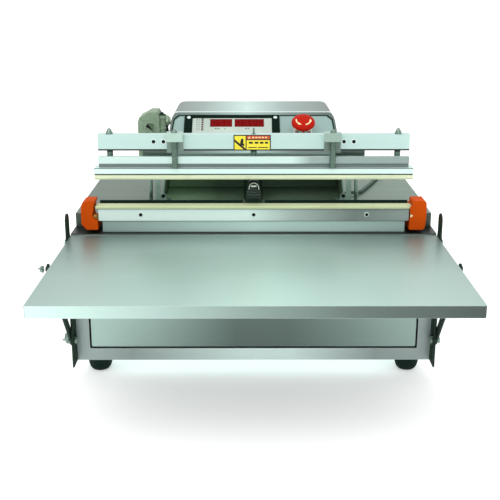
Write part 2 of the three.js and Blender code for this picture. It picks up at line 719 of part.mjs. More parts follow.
function airHose() {
  const points = HOSE_ROUTE.map(([x, y, rise]) => new THREE.Vector3(x, y, DECK_RISE + rise));
  const section = new THREE.Shape().absarc(0, 0, HOSE_RADIUS, 0, Math.PI * 2);
  const extrudePath = new THREE.CatmullRomCurve3(points);
  const sweep = { extrudePath, steps: 18, curveSegments: 5, bevelEnabled: false };
  return new THREE.ExtrudeGeometry(section, sweep);
}

place(station, 'pump_head', pumpHead(), greenCasting);
place(station, 'air_hose', airHose(), rubber);

// ---- Tray, slotted brackets and braces -------------------------------------------------------

const BRACKET_INNER = HALF + GAP;
const BRACKET_OUTER = BRACKET_INNER + 2.5;
const BRACE_INNER = BRACKET_OUTER + 0.7;
const BRACE_OUTER = BRACE_INNER + 2.5;
const TRAY_HALF = HALF - 0.5;
const LOWER_PIVOT_Z = PIVOT_Z - BRACE_DROP;
const SLOT_LOW = -210;
const SLOT_HIGH = 28;

function trayPan() {
  const back = -TRAY_BACK_GAP;
  const pan = prism(roundedRect(-TRAY_HALF, TRAY_HALF, -TRAY_REACH, back, 2.5), 'z', -TRAY_LIP, 0);
  const inner = TRAY_HALF - SHEET;
  const inside = box(-inner, inner, -TRAY_REACH + SHEET, back - SHEET, -TRAY_LIP - 1, -SHEET);
  const bores = [SLOT_Y, SLOT_Y - BRACE_REACH].map((y) => (
    round('x', BOLT_RADIUS + GAP, -HALF - 1, HALF + 1, y, PIVOT_Z, 16)
  ));
  return cut(pan, inside, ...bores);
}

// Strip screwed to the cabinet's side, standing in front of it, with one long slot and a narrower top.
function slotBracket() {
  const half = 15;
  const topHalf = 11;
  const shape = new THREE.Shape();
  shape.moveTo(SLOT_Y - half, -CABINET_HEIGHT);
  shape.lineTo(30, -CABINET_HEIGHT);
  shape.lineTo(30, -6);
  shape.lineTo(SLOT_Y + half, -6);
  shape.lineTo(SLOT_Y + topHalf, 4);
  shape.absarc(SLOT_Y, 26, topHalf, 0, Math.PI);
  shape.lineTo(SLOT_Y - topHalf, 4);
  shape.lineTo(SLOT_Y - half, -6);
  shape.closePath();
  const slotHalf = SLOT_WIDTH / 2;
  shape.holes.push(roundedRect(SLOT_Y - slotHalf, SLOT_Y + slotHalf, SLOT_LOW, SLOT_HIGH, slotHalf - 0.01));
  return prism(shape, 'x', BRACKET_INNER, BRACKET_OUTER, 6);
}

// Flat stay between the tray's side and the slot, built upright about its upper pivot.
function braceBar() {
  const length = Math.hypot(BRACE_REACH, BRACE_DROP);
  const r = 8;
  const bar = prism(roundedRect(-r, r, -length - r, r, r - 0.01), 'x', 0, BRACE_OUTER - BRACE_INNER, 5);
  const bores = [0, -length].map((z) => round('x', BOLT_RADIUS + GAP, -1, 5, 0, z, 16));
  return cut(bar, ...bores);
}

// Bolt end and wing nut outside the left brace; the right side has a hexagon head there instead.
function wingNut() {
  const shank = round('x', BOLT_RADIUS, BRACE_INNER - 0.4, 305, 0, 0, 16);
  const washer = round('x', 7, BRACE_OUTER + GAP, BRACE_OUTER + 1.5, 0, 0, 16);
  const hub = round('x', 5.5, BRACE_OUTER + 1.2, 303, 0, 0, 16);
  const wings = [-1, 1].map((way) => {
    const wing = prism(roundedRect(-1.3, 1.3, 3, 15, 1.2), 'x', 298.5, 307.5, 2);
    return wing.rotateX(way * 1.1);
  });
  return join(shank, washer, hub, ...wings);
}

function boltHead() {
  const shank = round('x', BOLT_RADIUS, BRACE_INNER - 0.4, 298, 0, 0, 16);
  const washer = round('x', 7, BRACE_OUTER + GAP, BRACE_OUTER + 1.5, 0, 0, 16);
  const hexagon = round('x', 5.8, BRACE_OUTER + 1.2, 301.5, 0, 0, 6);
  return join(shank, washer, hexagon);
}

// The clamped end of the lower bolt: a neck in the slot and a head on the bracket's inner face.
function slotSlider() {
  const half = BOLT_RADIUS;
  const neck = box(BRACKET_INNER - 2, BRACKET_OUTER + 0.2, -half, half, -half, half);
  const flat = round('x', 7.5, BRACKET_INNER - 4.5, BRACKET_INNER - GAP, 0, 0, 16);
  return join(neck, flat);
}

function trayBolt() {
  const shank = round('x', BOLT_RADIUS, TRAY_HALF - 6, 296, 0, 0, 16);
  const nut = round('x', 5.5, TRAY_HALF - 6.5, TRAY_HALF - SHEET - GAP, 0, 0, 6);
  const flat = round('x', 4.8, BRACKET_OUTER + GAP, 296.6, 0, 0, 16);
  return join(shank, nut, flat);
}

// The tray stands a little lower than the ledge.
const tray = new THREE.Group();
tray.position.z = -TRAY_DROP;
station.add(tray);
place(tray, 'tray', trayPan(), paintedSteel);
for (const [side, sign] of SIDES) {
  place(station, `slot_bracket_${side}`, sided(sign, slotBracket()), darkSteel);
  const upperPivot = [sign * BRACE_INNER, SLOT_Y - BRACE_REACH, PIVOT_Z];
  const brace = place(tray, `brace_${side}`, sided(sign, braceBar()), darkSteel, upperPivot);
  brace.rotation.x = Math.atan2(BRACE_REACH, BRACE_DROP);
  const lowerPivot = [0, SLOT_Y, LOWER_PIVOT_Z];
  const clamp = sign < 0 ? ['wing_nut_left', wingNut()] : ['clamp_bolt_right', boltHead()];
  place(tray, clamp[0], sided(sign, clamp[1]), brightSteel, lowerPivot);
  place(tray, `slot_slider_${side}`, sided(sign, slotSlider()), brightSteel, lowerPivot);
  place(tray, `tray_bolt_${side}`, sided(sign, trayBolt()), brightSteel, [0, SLOT_Y, PIVOT_Z]);
}

export default machine;
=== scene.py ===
import json
import math

import bmesh
import bpy
from mathutils import Matrix, Vector


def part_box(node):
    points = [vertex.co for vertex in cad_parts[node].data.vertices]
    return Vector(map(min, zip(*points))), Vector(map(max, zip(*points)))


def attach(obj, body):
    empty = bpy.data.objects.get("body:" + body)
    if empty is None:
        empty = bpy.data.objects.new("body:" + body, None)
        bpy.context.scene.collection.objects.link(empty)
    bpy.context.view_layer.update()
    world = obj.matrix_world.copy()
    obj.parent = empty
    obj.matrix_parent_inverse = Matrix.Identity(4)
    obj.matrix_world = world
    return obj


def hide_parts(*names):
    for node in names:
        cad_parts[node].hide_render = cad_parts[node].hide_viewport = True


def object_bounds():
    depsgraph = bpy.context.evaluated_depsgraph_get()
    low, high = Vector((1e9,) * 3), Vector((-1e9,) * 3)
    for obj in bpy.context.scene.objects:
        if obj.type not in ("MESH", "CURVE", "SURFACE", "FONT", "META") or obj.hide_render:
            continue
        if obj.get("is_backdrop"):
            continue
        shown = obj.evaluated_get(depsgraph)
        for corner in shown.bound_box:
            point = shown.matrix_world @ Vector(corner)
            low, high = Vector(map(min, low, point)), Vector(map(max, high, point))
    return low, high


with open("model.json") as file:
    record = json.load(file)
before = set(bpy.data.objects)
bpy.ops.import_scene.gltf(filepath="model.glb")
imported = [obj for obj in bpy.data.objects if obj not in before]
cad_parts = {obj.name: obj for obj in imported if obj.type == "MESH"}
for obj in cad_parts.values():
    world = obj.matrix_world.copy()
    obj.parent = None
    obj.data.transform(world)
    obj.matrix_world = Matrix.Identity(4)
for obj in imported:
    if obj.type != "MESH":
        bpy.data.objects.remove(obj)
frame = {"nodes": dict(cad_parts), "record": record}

cad_low, cad_high = (Vector(corner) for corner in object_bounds())
nodes = frame["nodes"]
MM = 0.001

camera = bpy.data.objects.new("camera", bpy.data.cameras.new("camera"))
camera.data.lens = 65.75
camera.data.sensor_width = 36
camera.location = (-0.0093, -1.4308, 0.6346)
camera.rotation_euler = (math.radians(73.22), 0, math.radians(-0.14))
bpy.context.scene.collection.objects.link(camera)
bpy.context.scene.camera = camera


# ---- Node materials ------------------------------------------------------------------------------

def linear(r, g, b):
    """An 8-bit display colour as the linear colour that a shader takes."""
    def channel(v):
        v /= 255
        return v / 12.92 if v <= 0.04045 else ((v + 0.055) / 1.055) ** 2.4
    return (channel(r), channel(g), channel(b), 1.0)


class Nodes:
    """Short calls for building one material's node tree."""

    def __init__(self, name):
        self.material = bpy.data.materials.new(name)
        self.material.use_nodes = True
        self.tree = self.material.node_tree
        self.shader = self.tree.nodes["Principled BSDF"]
        self.place = self.add("ShaderNodeTexCoord").outputs["Object"]

    def add(self, kind, **settings):
        node = self.tree.nodes.new(kind)
        for key, value in settings.items():
            setattr(node, key, value)
        return node

    def link(self, source, target):
        self.tree.links.new(source, target)

    def noise(self, scale, detail=3.0, stretch=(1, 1, 1), roughness=0.55):
        mapping = self.add("ShaderNodeMapping")
        mapping.inputs["Scale"].default_value = stretch
        self.link(self.place, mapping.inputs["Vector"])
        noise = self.add("ShaderNodeTexNoise")
        noise.inputs["Scale"].default_value = scale
        noise.inputs["Detail"].default_value = detail
        noise.inputs["Roughness"].default_value = roughness
        self.link(mapping.outputs["Vector"], noise.inputs["Vector"])
        return noise.outputs["Fac"]

    def ranged(self, source, low, high, to_low, to_high):
        node = self.add("ShaderNodeMapRange", clamp=True)
        node.inputs["From Min"].default_value = low
        node.inputs["From Max"].default_value = high
        node.inputs["To Min"].default_value = to_low
        node.inputs["To Max"].default_value = to_high
        self.link(source, node.inputs["Value"])
        return node.outputs["Result"]

    def mixed(self, factor, a, b):
        node = self.add("ShaderNodeMix", data_type="RGBA")
        self.link(factor, node.inputs[0])
        for value, socket in ((a, node.inputs[6]), (b, node.inputs[7])):
            if isinstance(value, tuple):
                socket.default_value = value
            else:
                self.link(value, socket)
        return node.outputs[2]

    def times(self, a, b):
        node = self.add("ShaderNodeMath", operation="MULTIPLY")
        self.link(a, node.inputs[0])
        self.link(b, node.inputs[1])
        return node.outputs[0]

    def edges(self, radius):
        """1 along convex and concave edges, 0 on flats."""
        rounded = self.add("ShaderNodeBevel", samples=4)
        rounded.inputs["Radius"].default_value = radius
        flat = self.add("ShaderNodeNewGeometry")
        dot = self.add("ShaderNodeVectorMath", operation="DOT_PRODUCT")
        self.link(rounded.outputs["Normal"], dot.inputs[0])
        self.link(flat.outputs["Normal"], dot.inputs[1])
        return self.ranged(dot.outputs["Value"], 0.995, 0.85, 0.0, 1.0)

    def bump(self, height, strength, distance):
        node = self.add("ShaderNodeBump")
        node.inputs["Strength"].default_value = strength
        node.inputs["Distance"].default_value = distance
        self.link(height, node.inputs["Height"])
        self.link(node.outputs["Normal"], self.shader.inputs["Normal"])

    def band(self, axis, stops):
        """A smooth grey along an axis, from pairs of a place in millimetres and a grey."""
        split = self.add("ShaderNodeSeparateXYZ")
        self.link(self.place, split.inputs[0])
        first, last = stops[0][0] * MM, stops[-1][0] * MM
        ramp = self.add("ShaderNodeValToRGB")
        ramp.color_ramp.interpolation = "LINEAR"
        for index, (place, grey) in enumerate(stops):
            at = (place * MM - first) / (last - first)
            if index in (0, len(stops) - 1):
                element = ramp.color_ramp.elements[0 if index == 0 else -1]
            else:
                element = ramp.color_ramp.elements.new(at)
            element.color = (grey, grey, grey, 1)
        self.link(self.ranged(split.outputs[axis], first, last, 0, 1), ramp.inputs[0])
        return ramp.outputs[0]

    def facing(self, axis, sign):
        """1 on faces that look along an axis, 0 on the others."""
        split = self.add("ShaderNodeSeparateXYZ")
        self.link(self.add("ShaderNodeTexCoord").outputs["Normal"], split.inputs[0])
        return self.ranged(split.outputs[axis], 0.35 * sign, 0.65 * sign, 0, 1)

    def toned(self, colour, bands):
        """The colour multiplied by each band of painted light and shade on its faces, or only on those above
        a height in millimetres.
        """
        for (axis, sign), along, stops, *above in bands:
            where = self.facing(axis, sign)
            if above:
                split = self.add("ShaderNodeSeparateXYZ")
                self.link(self.place, split.inputs[0])
                where = self.times(where, self.ranged(split.outputs[2], above[0] * MM,
                                                      (above[0] + 0.2) * MM, 0, 1))
            grey = self.mixed(where, (1, 1, 1, 1), self.band(along, stops))
            node = self.add("ShaderNodeMix", data_type="RGBA", blend_type="MULTIPLY")
            node.inputs[0].default_value = 1.0
            for value, socket in ((colour, node.inputs[6]), (grey, node.inputs[7])):
                if isinstance(value, tuple):
                    socket.default_value = value
                else:
                    self.link(value, socket)
            colour = node.outputs[2]
        return colour

    def set(self, **values):
        for key, value in values.items():
            self.shader.inputs[key.replace("_", " ")].default_value = value


def shade(colour, amount):
    """The colour made lighter (above 1) or darker (below 1)."""
    return tuple(min(1.0, c * amount) for c in colour[:3]) + (1.0,)


def painted(name, colour, roughness=0.4, metallic=0.25, wear=None, peel=0.35, bands=(), gloss=0.5,
            painted_edge_highlight=0.0):
    """Powder coat: orange peel, slow drift in shade and gloss, paint rubbed thin along edges, bands of
    painted light and shade, and a painted highlight along edges.
    """
    n = Nodes(name)
    drift = n.noise(4.0, 2.0)
    speck = n.noise(900.0, 2.0)
    tone = n.mixed(n.ranged(drift, 0.3, 0.7, 0, 1), shade(colour, 0.96), shade(colour, 1.03))
    tone = n.mixed(n.ranged(speck, 0.55, 0.75, 0, 0.2), tone, shade(colour, 0.85))
    if wear:
        rubbed = n.times(n.edges(1.2 * MM), n.ranged(n.noise(60.0, 4.0), 0.45, 0.7, 0, 0.5))
        tone = n.mixed(rubbed, tone, wear)
    tone = n.toned(tone, bands)
    # Painted highlight: edges lightened towards the bare steel colour.
    if painted_edge_highlight:
        tone = n.mixed(n.ranged(n.edges(1.0 * MM), 0, 1, 0, painted_edge_highlight), tone, BARE_STEEL_AND_HIGHLIGHT)
    n.link(tone, n.shader.inputs["Base Color"])
    haze = n.noise(5.0, 3.0, (1, 6, 6))
    n.link(n.ranged(haze, 0.3, 0.7, roughness - 0.02, roughness + 0.03), n.shader.inputs["Roughness"])
    n.set(Metallic=metallic, Specular_IOR_Level=gloss)
    n.bump(n.noise(1100.0, 2.0), peel, 0.05 * MM)
    return n.material


def drawn_metal(name, colour, roughness=0.3, metallic=0.9, along=(1, 60, 60), lines=0.5, bands=()):
    """Extruded, rolled or ground metal with fine lines along one direction, and bands of painted light and
    shade.
    """
    n = Nodes(name)
    streak = n.noise(30.0, 5.0, along, 0.7)
    slow = n.noise(6.0, 2.0)
    tone = n.mixed(n.ranged(streak, 0.3, 0.7, 0, 1), shade(colour, 0.95), shade(colour, 1.03))
    tone = n.mixed(n.ranged(slow, 0.35, 0.7, 0, 0.3), tone, shade(colour, 0.92))
    tone = n.mixed(n.times(n.edges(0.8 * MM), n.ranged(slow, 0.3, 0.6, 0.1, 0.4)), tone, shade(colour, 1.2))
    n.link(n.toned(tone, bands), n.shader.inputs["Base Color"])
    n.link(n.ranged(streak, 0.25, 0.75, roughness - 0.04, roughness + 0.06), n.shader.inputs["Roughness"])
    n.set(Metallic=metallic)
    n.bump(streak, lines, 0.01 * MM)
    return n.material


def moulded(name, colour, roughness=0.4, grain=0.4, size=1500.0, coat=0.0, scuff=1.3, gloss=0.3):
    """Moulded plastic or rubber: leather-fine grain, patchy gloss, paler scuffed edges."""
    n = Nodes(name)
    slow = n.noise(18.0, 3.0)
    fine = n.noise(size, 3.0)
    tone = n.mixed(n.ranged(slow, 0.3, 0.7, 0, 1), shade(colour, 0.9), shade(colour, 1.08))
    tone = n.mixed(n.ranged(fine, 0.5, 0.8, 0, 0.3), tone, shade(colour, 0.75))
    tone = n.mixed(n.times(n.edges(0.9 * MM), n.ranged(n.noise(90.0), 0.4, 0.7, 0, 0.6)), tone,
                   shade(colour, scuff))
    n.link(tone, n.shader.inputs["Base Color"])
    n.link(n.ranged(n.noise(40.0, 4.0), 0.3, 0.7, roughness - 0.06, roughness + 0.08),
           n.shader.inputs["Roughness"])
    n.set(Specular_IOR_Level=gloss)
    if coat:
        n.set(Coat_Weight=coat, Coat_Roughness=0.1)
    n.bump(fine, grain, 0.05 * MM)
    return n.material


def cast(name, colour, roughness=0.55):
    """Sand casting under paint: coarse pimpled skin, darker hollows, chips at the edges."""
    n = Nodes(name)
    coarse = n.noise(260.0, 5.0)
    slow = n.noise(25.0, 3.0)
    tone = n.mixed(n.ranged(coarse, 0.35, 0.65, 0, 1), shade(colour, 0.8), shade(colour, 1.1))
    tone = n.mixed(n.ranged(slow, 0.45, 0.75, 0, 0.5), tone, shade(colour, 0.65))
    chips = n.times(n.edges(1.5 * MM), n.ranged(n.noise(120.0, 4.0), 0.5, 0.62, 0, 0.8))
    tone = n.mixed(chips, tone, linear(205, 212, 200))
    n.link(tone, n.shader.inputs["Base Color"])
    n.link(n.ranged(coarse, 0.3, 0.7, roughness - 0.1, roughness + 0.1), n.shader.inputs["Roughness"])
    n.set(Metallic=0.15)
    n.bump(coarse, 0.6, 0.35 * MM)
    return n.material


def pad_rubber(name, colour):
    """Silicone pad under woven release cloth: a fine weave across, soft stripes along the bar."""
    n = Nodes(name)
    across = n.noise(9.0, 3.0, (1, 40, 40), 0.6)
    weave = n.noise(1600.0, 2.0, (1, 1, 1))
    tone = n.mixed(n.ranged(across, 0.35, 0.65, 0, 1), shade(colour, 0.88), shade(colour, 1.08))
    tone = n.mixed(n.ranged(weave, 0.5, 0.75, 0, 0.3), tone, shade(colour, 0.8))
    stain = n.ranged(n.noise(22.0, 3.0, (1, 3, 3)), 0.58, 0.75, 0, 0.35)
    tone = n.mixed(stain, tone, linear(176, 160, 112))
    n.link(tone, n.shader.inputs["Base Color"])
    n.link(n.ranged(weave, 0.3, 0.7, 0.45, 0.62), n.shader.inputs["Roughness"])
    n.set(Sheen_Weight=0.15, Sheen_Roughness=0.5)
    n.bump(weave, 0.35, 0.06 * MM)
    return n.material


# Bare steel, for paint rubbed through at edges and for the painted edge highlight.
BARE_STEEL_AND_HIGHLIGHT = linear(206, 222, 214)
mint = linear(176, 205, 196)
aluminium = linear(214, 242, 234)
FRONT_FACE, TOP_FACE, UNDER_FACE = (1, -1), (2, 1), (2, -1)
LEFT_FACE, RIGHT_FACE, BACK_FACE = (0, -1), (0, 1), (1, 1)
# Painted shade: under-faces darkened, and the sides and back darkened, most towards the bottom.
SHADE_UNDER = (UNDER_FACE, 0, [(-300, 0.12), (300, 0.12)])
SHADE_SIDES = [(face, 2, [(0, 0.3), (250, 0.4), (410, 0.5)]) for face in (LEFT_FACE, RIGHT_FACE, BACK_FACE)]


def steel(name, *bands, colour=mint, roughness=0.34, metallic=0.5, painted_edge_highlight=0.0):
    return painted(name, colour, roughness, metallic, wear=BARE_STEEL_AND_HIGHLIGHT, bands=bands, painted_edge_highlight=painted_edge_highlight)


finishes = {
    "painted_mint": steel("painted_mint", *SHADE_SIDES),
    "aluminium": drawn_metal("aluminium", aluminium, 0.3, 0.7, bands=[SHADE_UNDER]),
    # Painted shade: a near-black line along the bottom of the beam's front, and darkened under-faces.
    "beam_aluminium": drawn_metal(
        "beam_aluminium", linear(192, 219, 213), 0.45, 0.3, lines=0.2,
        bands=[SHADE_UNDER, (FRONT_FACE, 2, [(371.9, 0.02), (374.0, 0.02), (374.6, 1), (396.9, 1)])],
    ),
    # Painted light and shade: front faces darker to the right and darker below a height.
    "arm_metal": painted(
        "arm_metal", linear(176, 203, 190), 0.38, 0.4, wear=BARE_STEEL_AND_HIGHLIGHT, peel=0.25,
        bands=[(FRONT_FACE, 0, [(-140, 1.0), (-100, 1.0), (100, 0.72), (140, 0.72)]),
               (FRONT_FACE, 2, [(359, 0.4), (387.4, 0.5), (388.2, 1), (402, 1)])],
    ),
    "dark_steel": painted("dark_steel", linear(17, 42, 29), 0.55, 0.0, wear=linear(70, 92, 80), peel=0.3,
                          gloss=0.2),
    "bright_steel": drawn_metal("bright_steel", linear(120, 142, 130), 0.24, 0.95, along=(60, 60, 4)),
    "rubber": moulded("rubber", linear(12, 34, 28), 0.75, 0.6, 900.0, gloss=0.15),
    "hose_rubber": moulded("hose_rubber", linear(66, 92, 80), 0.5, 0.3, 1200.0),
    "seal_pad": pad_rubber("seal_pad", linear(204, 214, 168)),
    "heating_strip": drawn_metal("heating_strip", linear(150, 146, 136), 0.35, 0.95),
    "orange_plastic": moulded("orange_plastic", linear(200, 76, 6), 0.6, 0.45, 1300.0, scuff=1.15,
                              gloss=0.06),
    "black_plastic": moulded("black_plastic", linear(12, 22, 18), 0.45, 0.5, 1500.0, scuff=2.0, gloss=0.2),
    # Painted shade: pale paint darkened by bands to the dark of the shaded bay, lighter only at its left
    # edge.
    "bay_black": painted(
        "bay_black", linear(186, 226, 186), 0.6, 0.1, peel=0.4, gloss=0.15,
        bands=[(face, 0, [(-150, 0.95), (-60, 0.34), (150, 0.31)]) for face in (FRONT_FACE, TOP_FACE,
                                                                                UNDER_FACE)]
        + [((0, sign), 2, [(262, 0.3), (345, 0.22)]) for sign in (1, -1)],
    ),
    "nozzle_plastic": moulded("nozzle_plastic", linear(8, 30, 20), 0.35, 0.25, 1500.0, scuff=2.0,
                              gloss=0.35),
    "panel_paint": painted("panel_paint", linear(146, 174, 168), 0.42, 0.3, wear=BARE_STEEL_AND_HIGHLIGHT),
    "bezel_plastic": moulded("bezel_plastic", linear(4, 26, 18), 0.6, 0.3, 1500.0, scuff=1.6, gloss=0.05),
    "overlay": moulded("overlay", linear(184, 198, 188), 0.5, 0.2, 1800.0, gloss=0.1),
    "red_display": moulded("red_display", linear(112, 8, 8), 0.5, 0.1, 1800.0, gloss=0.02),
    "key_plastic": moulded("key_plastic", linear(176, 190, 180), 0.45, 0.3),
    "collar_metal": drawn_metal("collar_metal", linear(196, 202, 192), 0.22, 1.0, along=(20, 20, 20),
                                lines=0.2),
    "red_plastic": moulded("red_plastic", linear(182, 28, 10), 0.45, 0.25, 1500.0, gloss=0.06),
    "green_casting": cast("green_casting", linear(138, 162, 136)),
    "motor_paint": cast("motor_paint", linear(60, 72, 76)),
    "transformer_iron": cast("transformer_iron", linear(108, 82, 68)),
}
# Painted shade in the upper bar's groove along its front.
UPPER_BAR_GROOVE_SHADE = [(334.7, 1), (344.2, 1), (344.6, 0.2), (349.8, 0.24), (350.6, 0.12), (351.2, 1), (364, 1)]
# Painted reflection and shade along the lower bar's front: bright at the left, dark to the right.
LOWER_BAR_PAINTED_LIGHT = [(-250, 0.96), (-150, 1.0), (-10, 1.0), (60, 0.58), (160, 0.26), (250, 0.4)]
PAD_SHADOW = [(260.5, 1), (278.6, 1), (279.0, 0.4), (280.2, 0.4)]
node_finish = {
    "upper_seal_pad": pad_rubber("upper_pad_rubber", linear(224, 232, 196)),
    "lower_seal_pad": pad_rubber("lower_pad_rubber", linear(194, 206, 160)),
    # Painted reflection and shade: the top darker to the back and lighter in the middle, the front lip bright
    # at the left and dark to the right.
    "tray": steel(
        "tray_steel",
        (TOP_FACE, 1, [(-365, 0.9), (-240, 0.84), (-120, 0.64), (-40, 0.44)]),
        (TOP_FACE, 0, [(-300, 0.66), (-110, 0.9), (20, 1.12), (160, 0.9), (300, 0.76)]),
        (FRONT_FACE, 0, [(-300, 1.0), (-190, 0.74), (0, 0.36), (120, 0.18), (300, 0.09)]),
        SHADE_UNDER, *SHADE_SIDES, colour=linear(200, 230, 221), roughness=0.36, metallic=0.5, painted_edge_highlight=0.7,
    ),
    # Painted reflection: the door bright at the left, dark in the middle, lighter to the right.
    "front_panel": steel(
        "door_steel",
        (FRONT_FACE, 0, [(-268, 1.0), (-160, 0.74), (-30, 0.3), (60, 0.3), (150, 0.46), (268, 0.72)]),
        painted_edge_highlight=0.6,
    ),
    # Painted reflection: the front bright in the middle and darker to the ends.
    "cabinet_body": steel(
        "cabinet_steel",
        (FRONT_FACE, 0, [(-290, 0.49), (-200, 0.4), (-20, 1.0), (60, 1.0), (200, 0.38), (290, 0.43)]),
        *SHADE_SIDES, colour=linear(232, 255, 249), metallic=0.25, painted_edge_highlight=0.3,
    ),
    "rear_panel": steel("rear_steel", *SHADE_SIDES),
    # Painted shade: the top darkened, most at the left, and near-black along its front edge behind the jaw;
    # the front face darkened.
    "deck_plate": steel(
        "deck_steel",
        (TOP_FACE, 0, [(-290, 0.26), (0, 0.28), (290, 0.37)]),
        (TOP_FACE, 1, [(-40, 0.04), (9, 0.04), (12, 1.0), (370, 1.0)]),
        (FRONT_FACE, 0, [(-290, 0.12), (290, 0.12)]),
        *SHADE_SIDES, colour=linear(176, 212, 188), metallic=0.4,
    ),
    # Painted reflection and shade: the top bright in the middle and dark to the sides, the front darker
    # between its edges.
    "control_head": steel(
        "head_steel",
        (TOP_FACE, 0, [(-150, 0.25), (-90, 0.46), (-10, 1.0), (60, 0.5), (150, 0.23)]),
        (FRONT_FACE, 0, [(-150, 0.9), (-128, 0.42), (128, 0.42), (150, 0.9)]),
        *SHADE_SIDES, colour=linear(206, 236, 228), metallic=0.4,
    ),
    # Painted reflection and shade on the lower bar's front, with the pad's painted shadow along its top.
    "lower_jaw_bar": drawn_metal(
        "lower_bar_aluminium", linear(234, 252, 246), 0.36, 0.3,
        bands=[SHADE_UNDER, (FRONT_FACE, 0, LOWER_BAR_PAINTED_LIGHT), (FRONT_FACE, 2, PAD_SHADOW)],
    ),
    # Painted reflection: the front bright in the middle and darker to the ends.
    "lower_jaw_support": steel(
        "support_steel",
        (FRONT_FACE, 0, [(-250, 0.44), (-120, 0.68), (0, 0.9), (120, 0.7), (250, 0.5)]),
        colour=linear(206, 236, 228), metallic=0.15,
    ),
    # Painted shade: the upper bar's front darker to the right above its groove, and its groove darkened.
    "upper_jaw_bar": drawn_metal(
        "upper_bar_aluminium", linear(222, 246, 240), 0.36, 0.5,
        bands=[SHADE_UNDER, (FRONT_FACE, 0, [(-280, 0.84), (60, 0.9), (90, 0.46), (280, 0.38)], 350),
               (FRONT_FACE, 2, UPPER_BAR_GROOVE_SHADE)],
    ),
}
extra = {
    "fold_highlight": painted("fold_highlight", linear(226, 240, 236), 0.3, 0.4),
    "lamp_brown": moulded("lamp_brown", linear(92, 40, 36), 0.4, 0.1, 1800.0, gloss=0.08),
    "segment_lit": moulded("segment_lit", linear(138, 16, 16), 0.4, 0.1, 1800.0, gloss=0.08),
    "segment_dark": moulded("segment_dark", linear(110, 5, 7), 0.4, 0.1, 1800.0, gloss=0.08),
    "print_grey": moulded("print_grey", linear(104, 112, 106), 0.5, 0.1, 1800.0),
    "print_cream": moulded("print_cream", linear(240, 226, 178), 0.45, 0.15, 1800.0),
    "print_black": moulded("print_black", linear(30, 28, 24), 0.4, 0.15, 1800.0),
    "print_yellow": moulded("print_yellow", linear(240, 222, 60), 0.4, 0.15, 1800.0),
    "print_orange": moulded("print_orange", linear(206, 84, 36), 0.4, 0.15, 1800.0),
    "rib_glint": moulded("rib_glint", linear(58, 88, 72), 0.3, 0.2, 1500.0),
    # Darker casting green: the tube's own colour, and painted shade in the valve's leaf-shaped recess.
    "casting_green_and_shade": cast("casting_green_and_shade", linear(92, 116, 90)),
    "clip_chrome": drawn_metal("clip_chrome", linear(196, 208, 200), 0.18, 1.0, along=(20, 20, 20),
                               lines=0.15),
    "brass": drawn_metal("brass", linear(176, 132, 66), 0.3, 0.95, along=(20, 20, 20), lines=0.3),
    "tube_clear": moulded("tube_clear", linear(206, 216, 208), 0.3, 0.1, 1800.0, coat=0.4),
}


# ---- Air hose ------------------------------------------------------------------------------------

# Its route in millimetres from the cabinet's front edge and the ledge, as in the CAD model.
HOSE_ROUTE = [
    (164.3, 174, 26.6), (170, 174.2, 26.3), (178, 176.8, 25.6), (186, 182.6, 24.9), (192, 191.5, 24.4),
    (198.5, 207, 24.3), (208, 231, 24.3), (218, 257, 24.3), (228, 284, 24.3), (237, 311, 24.4),
    (243, 332, 25.4),
    (246.1, 343.5, 26.4), (248.8, 350.7, 26.6),
]
HOSE_DIAMETER = 6 * MM


def centripetal(points, steps):
    """A smooth line through points, with a number of steps between each two."""
    ends = [points[0] * 2 - points[1]] + points + [points[-1] * 2 - points[-2]]
    line = []
    for a, b, c, d in zip(ends, ends[1:], ends[2:], ends[3:]):
        gaps = [math.sqrt((q - p).length) for p, q in ((a, b), (b, c), (c, d))]
        out = ((b - a) / gaps[0] - (c - a) / (gaps[0] + gaps[1]) + (c - b) / gaps[1]) * gaps[1]
        into = ((c - b) / gaps[1] - (d - b) / (gaps[1] + gaps[2]) + (d - c) / gaps[2]) * gaps[1]
        for i in range(steps):
            t = i / steps
            line.append(b + out * t + ((c - b) * 3 - out * 2 - into) * t ** 2
                        + ((b - c) * 2 + out + into) * t ** 3)
    return line + [points[-1]]


hose_path = centripetal([Vector((x, y - 37.5, z + 241.5)) * MM for x, y, z in HOSE_ROUTE], 5)
hose_curve = bpy.data.curves.new("air_hose_tube", "CURVE")
hose_curve.dimensions = "3D"
hose_curve.bevel_depth = HOSE_DIAMETER / 2
hose_curve.bevel_resolution = 5
hose_curve.use_fill_caps = True
spline = hose_curve.splines.new("POLY")
spline.points.add(len(hose_path) - 1)
for point, place in zip(spline.points, hose_path):
    point.co = (*place, 1)
hose = bpy.data.objects.new("air_hose_tube", hose_curve)
bpy.context.scene.collection.objects.link(hose)
hose_curve.materials.append(finishes["hose_rubber"])
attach(hose, "cabinet")
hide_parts("air_hose")

# ---- Modifiers for softened edges ----------------------------------------------------------------

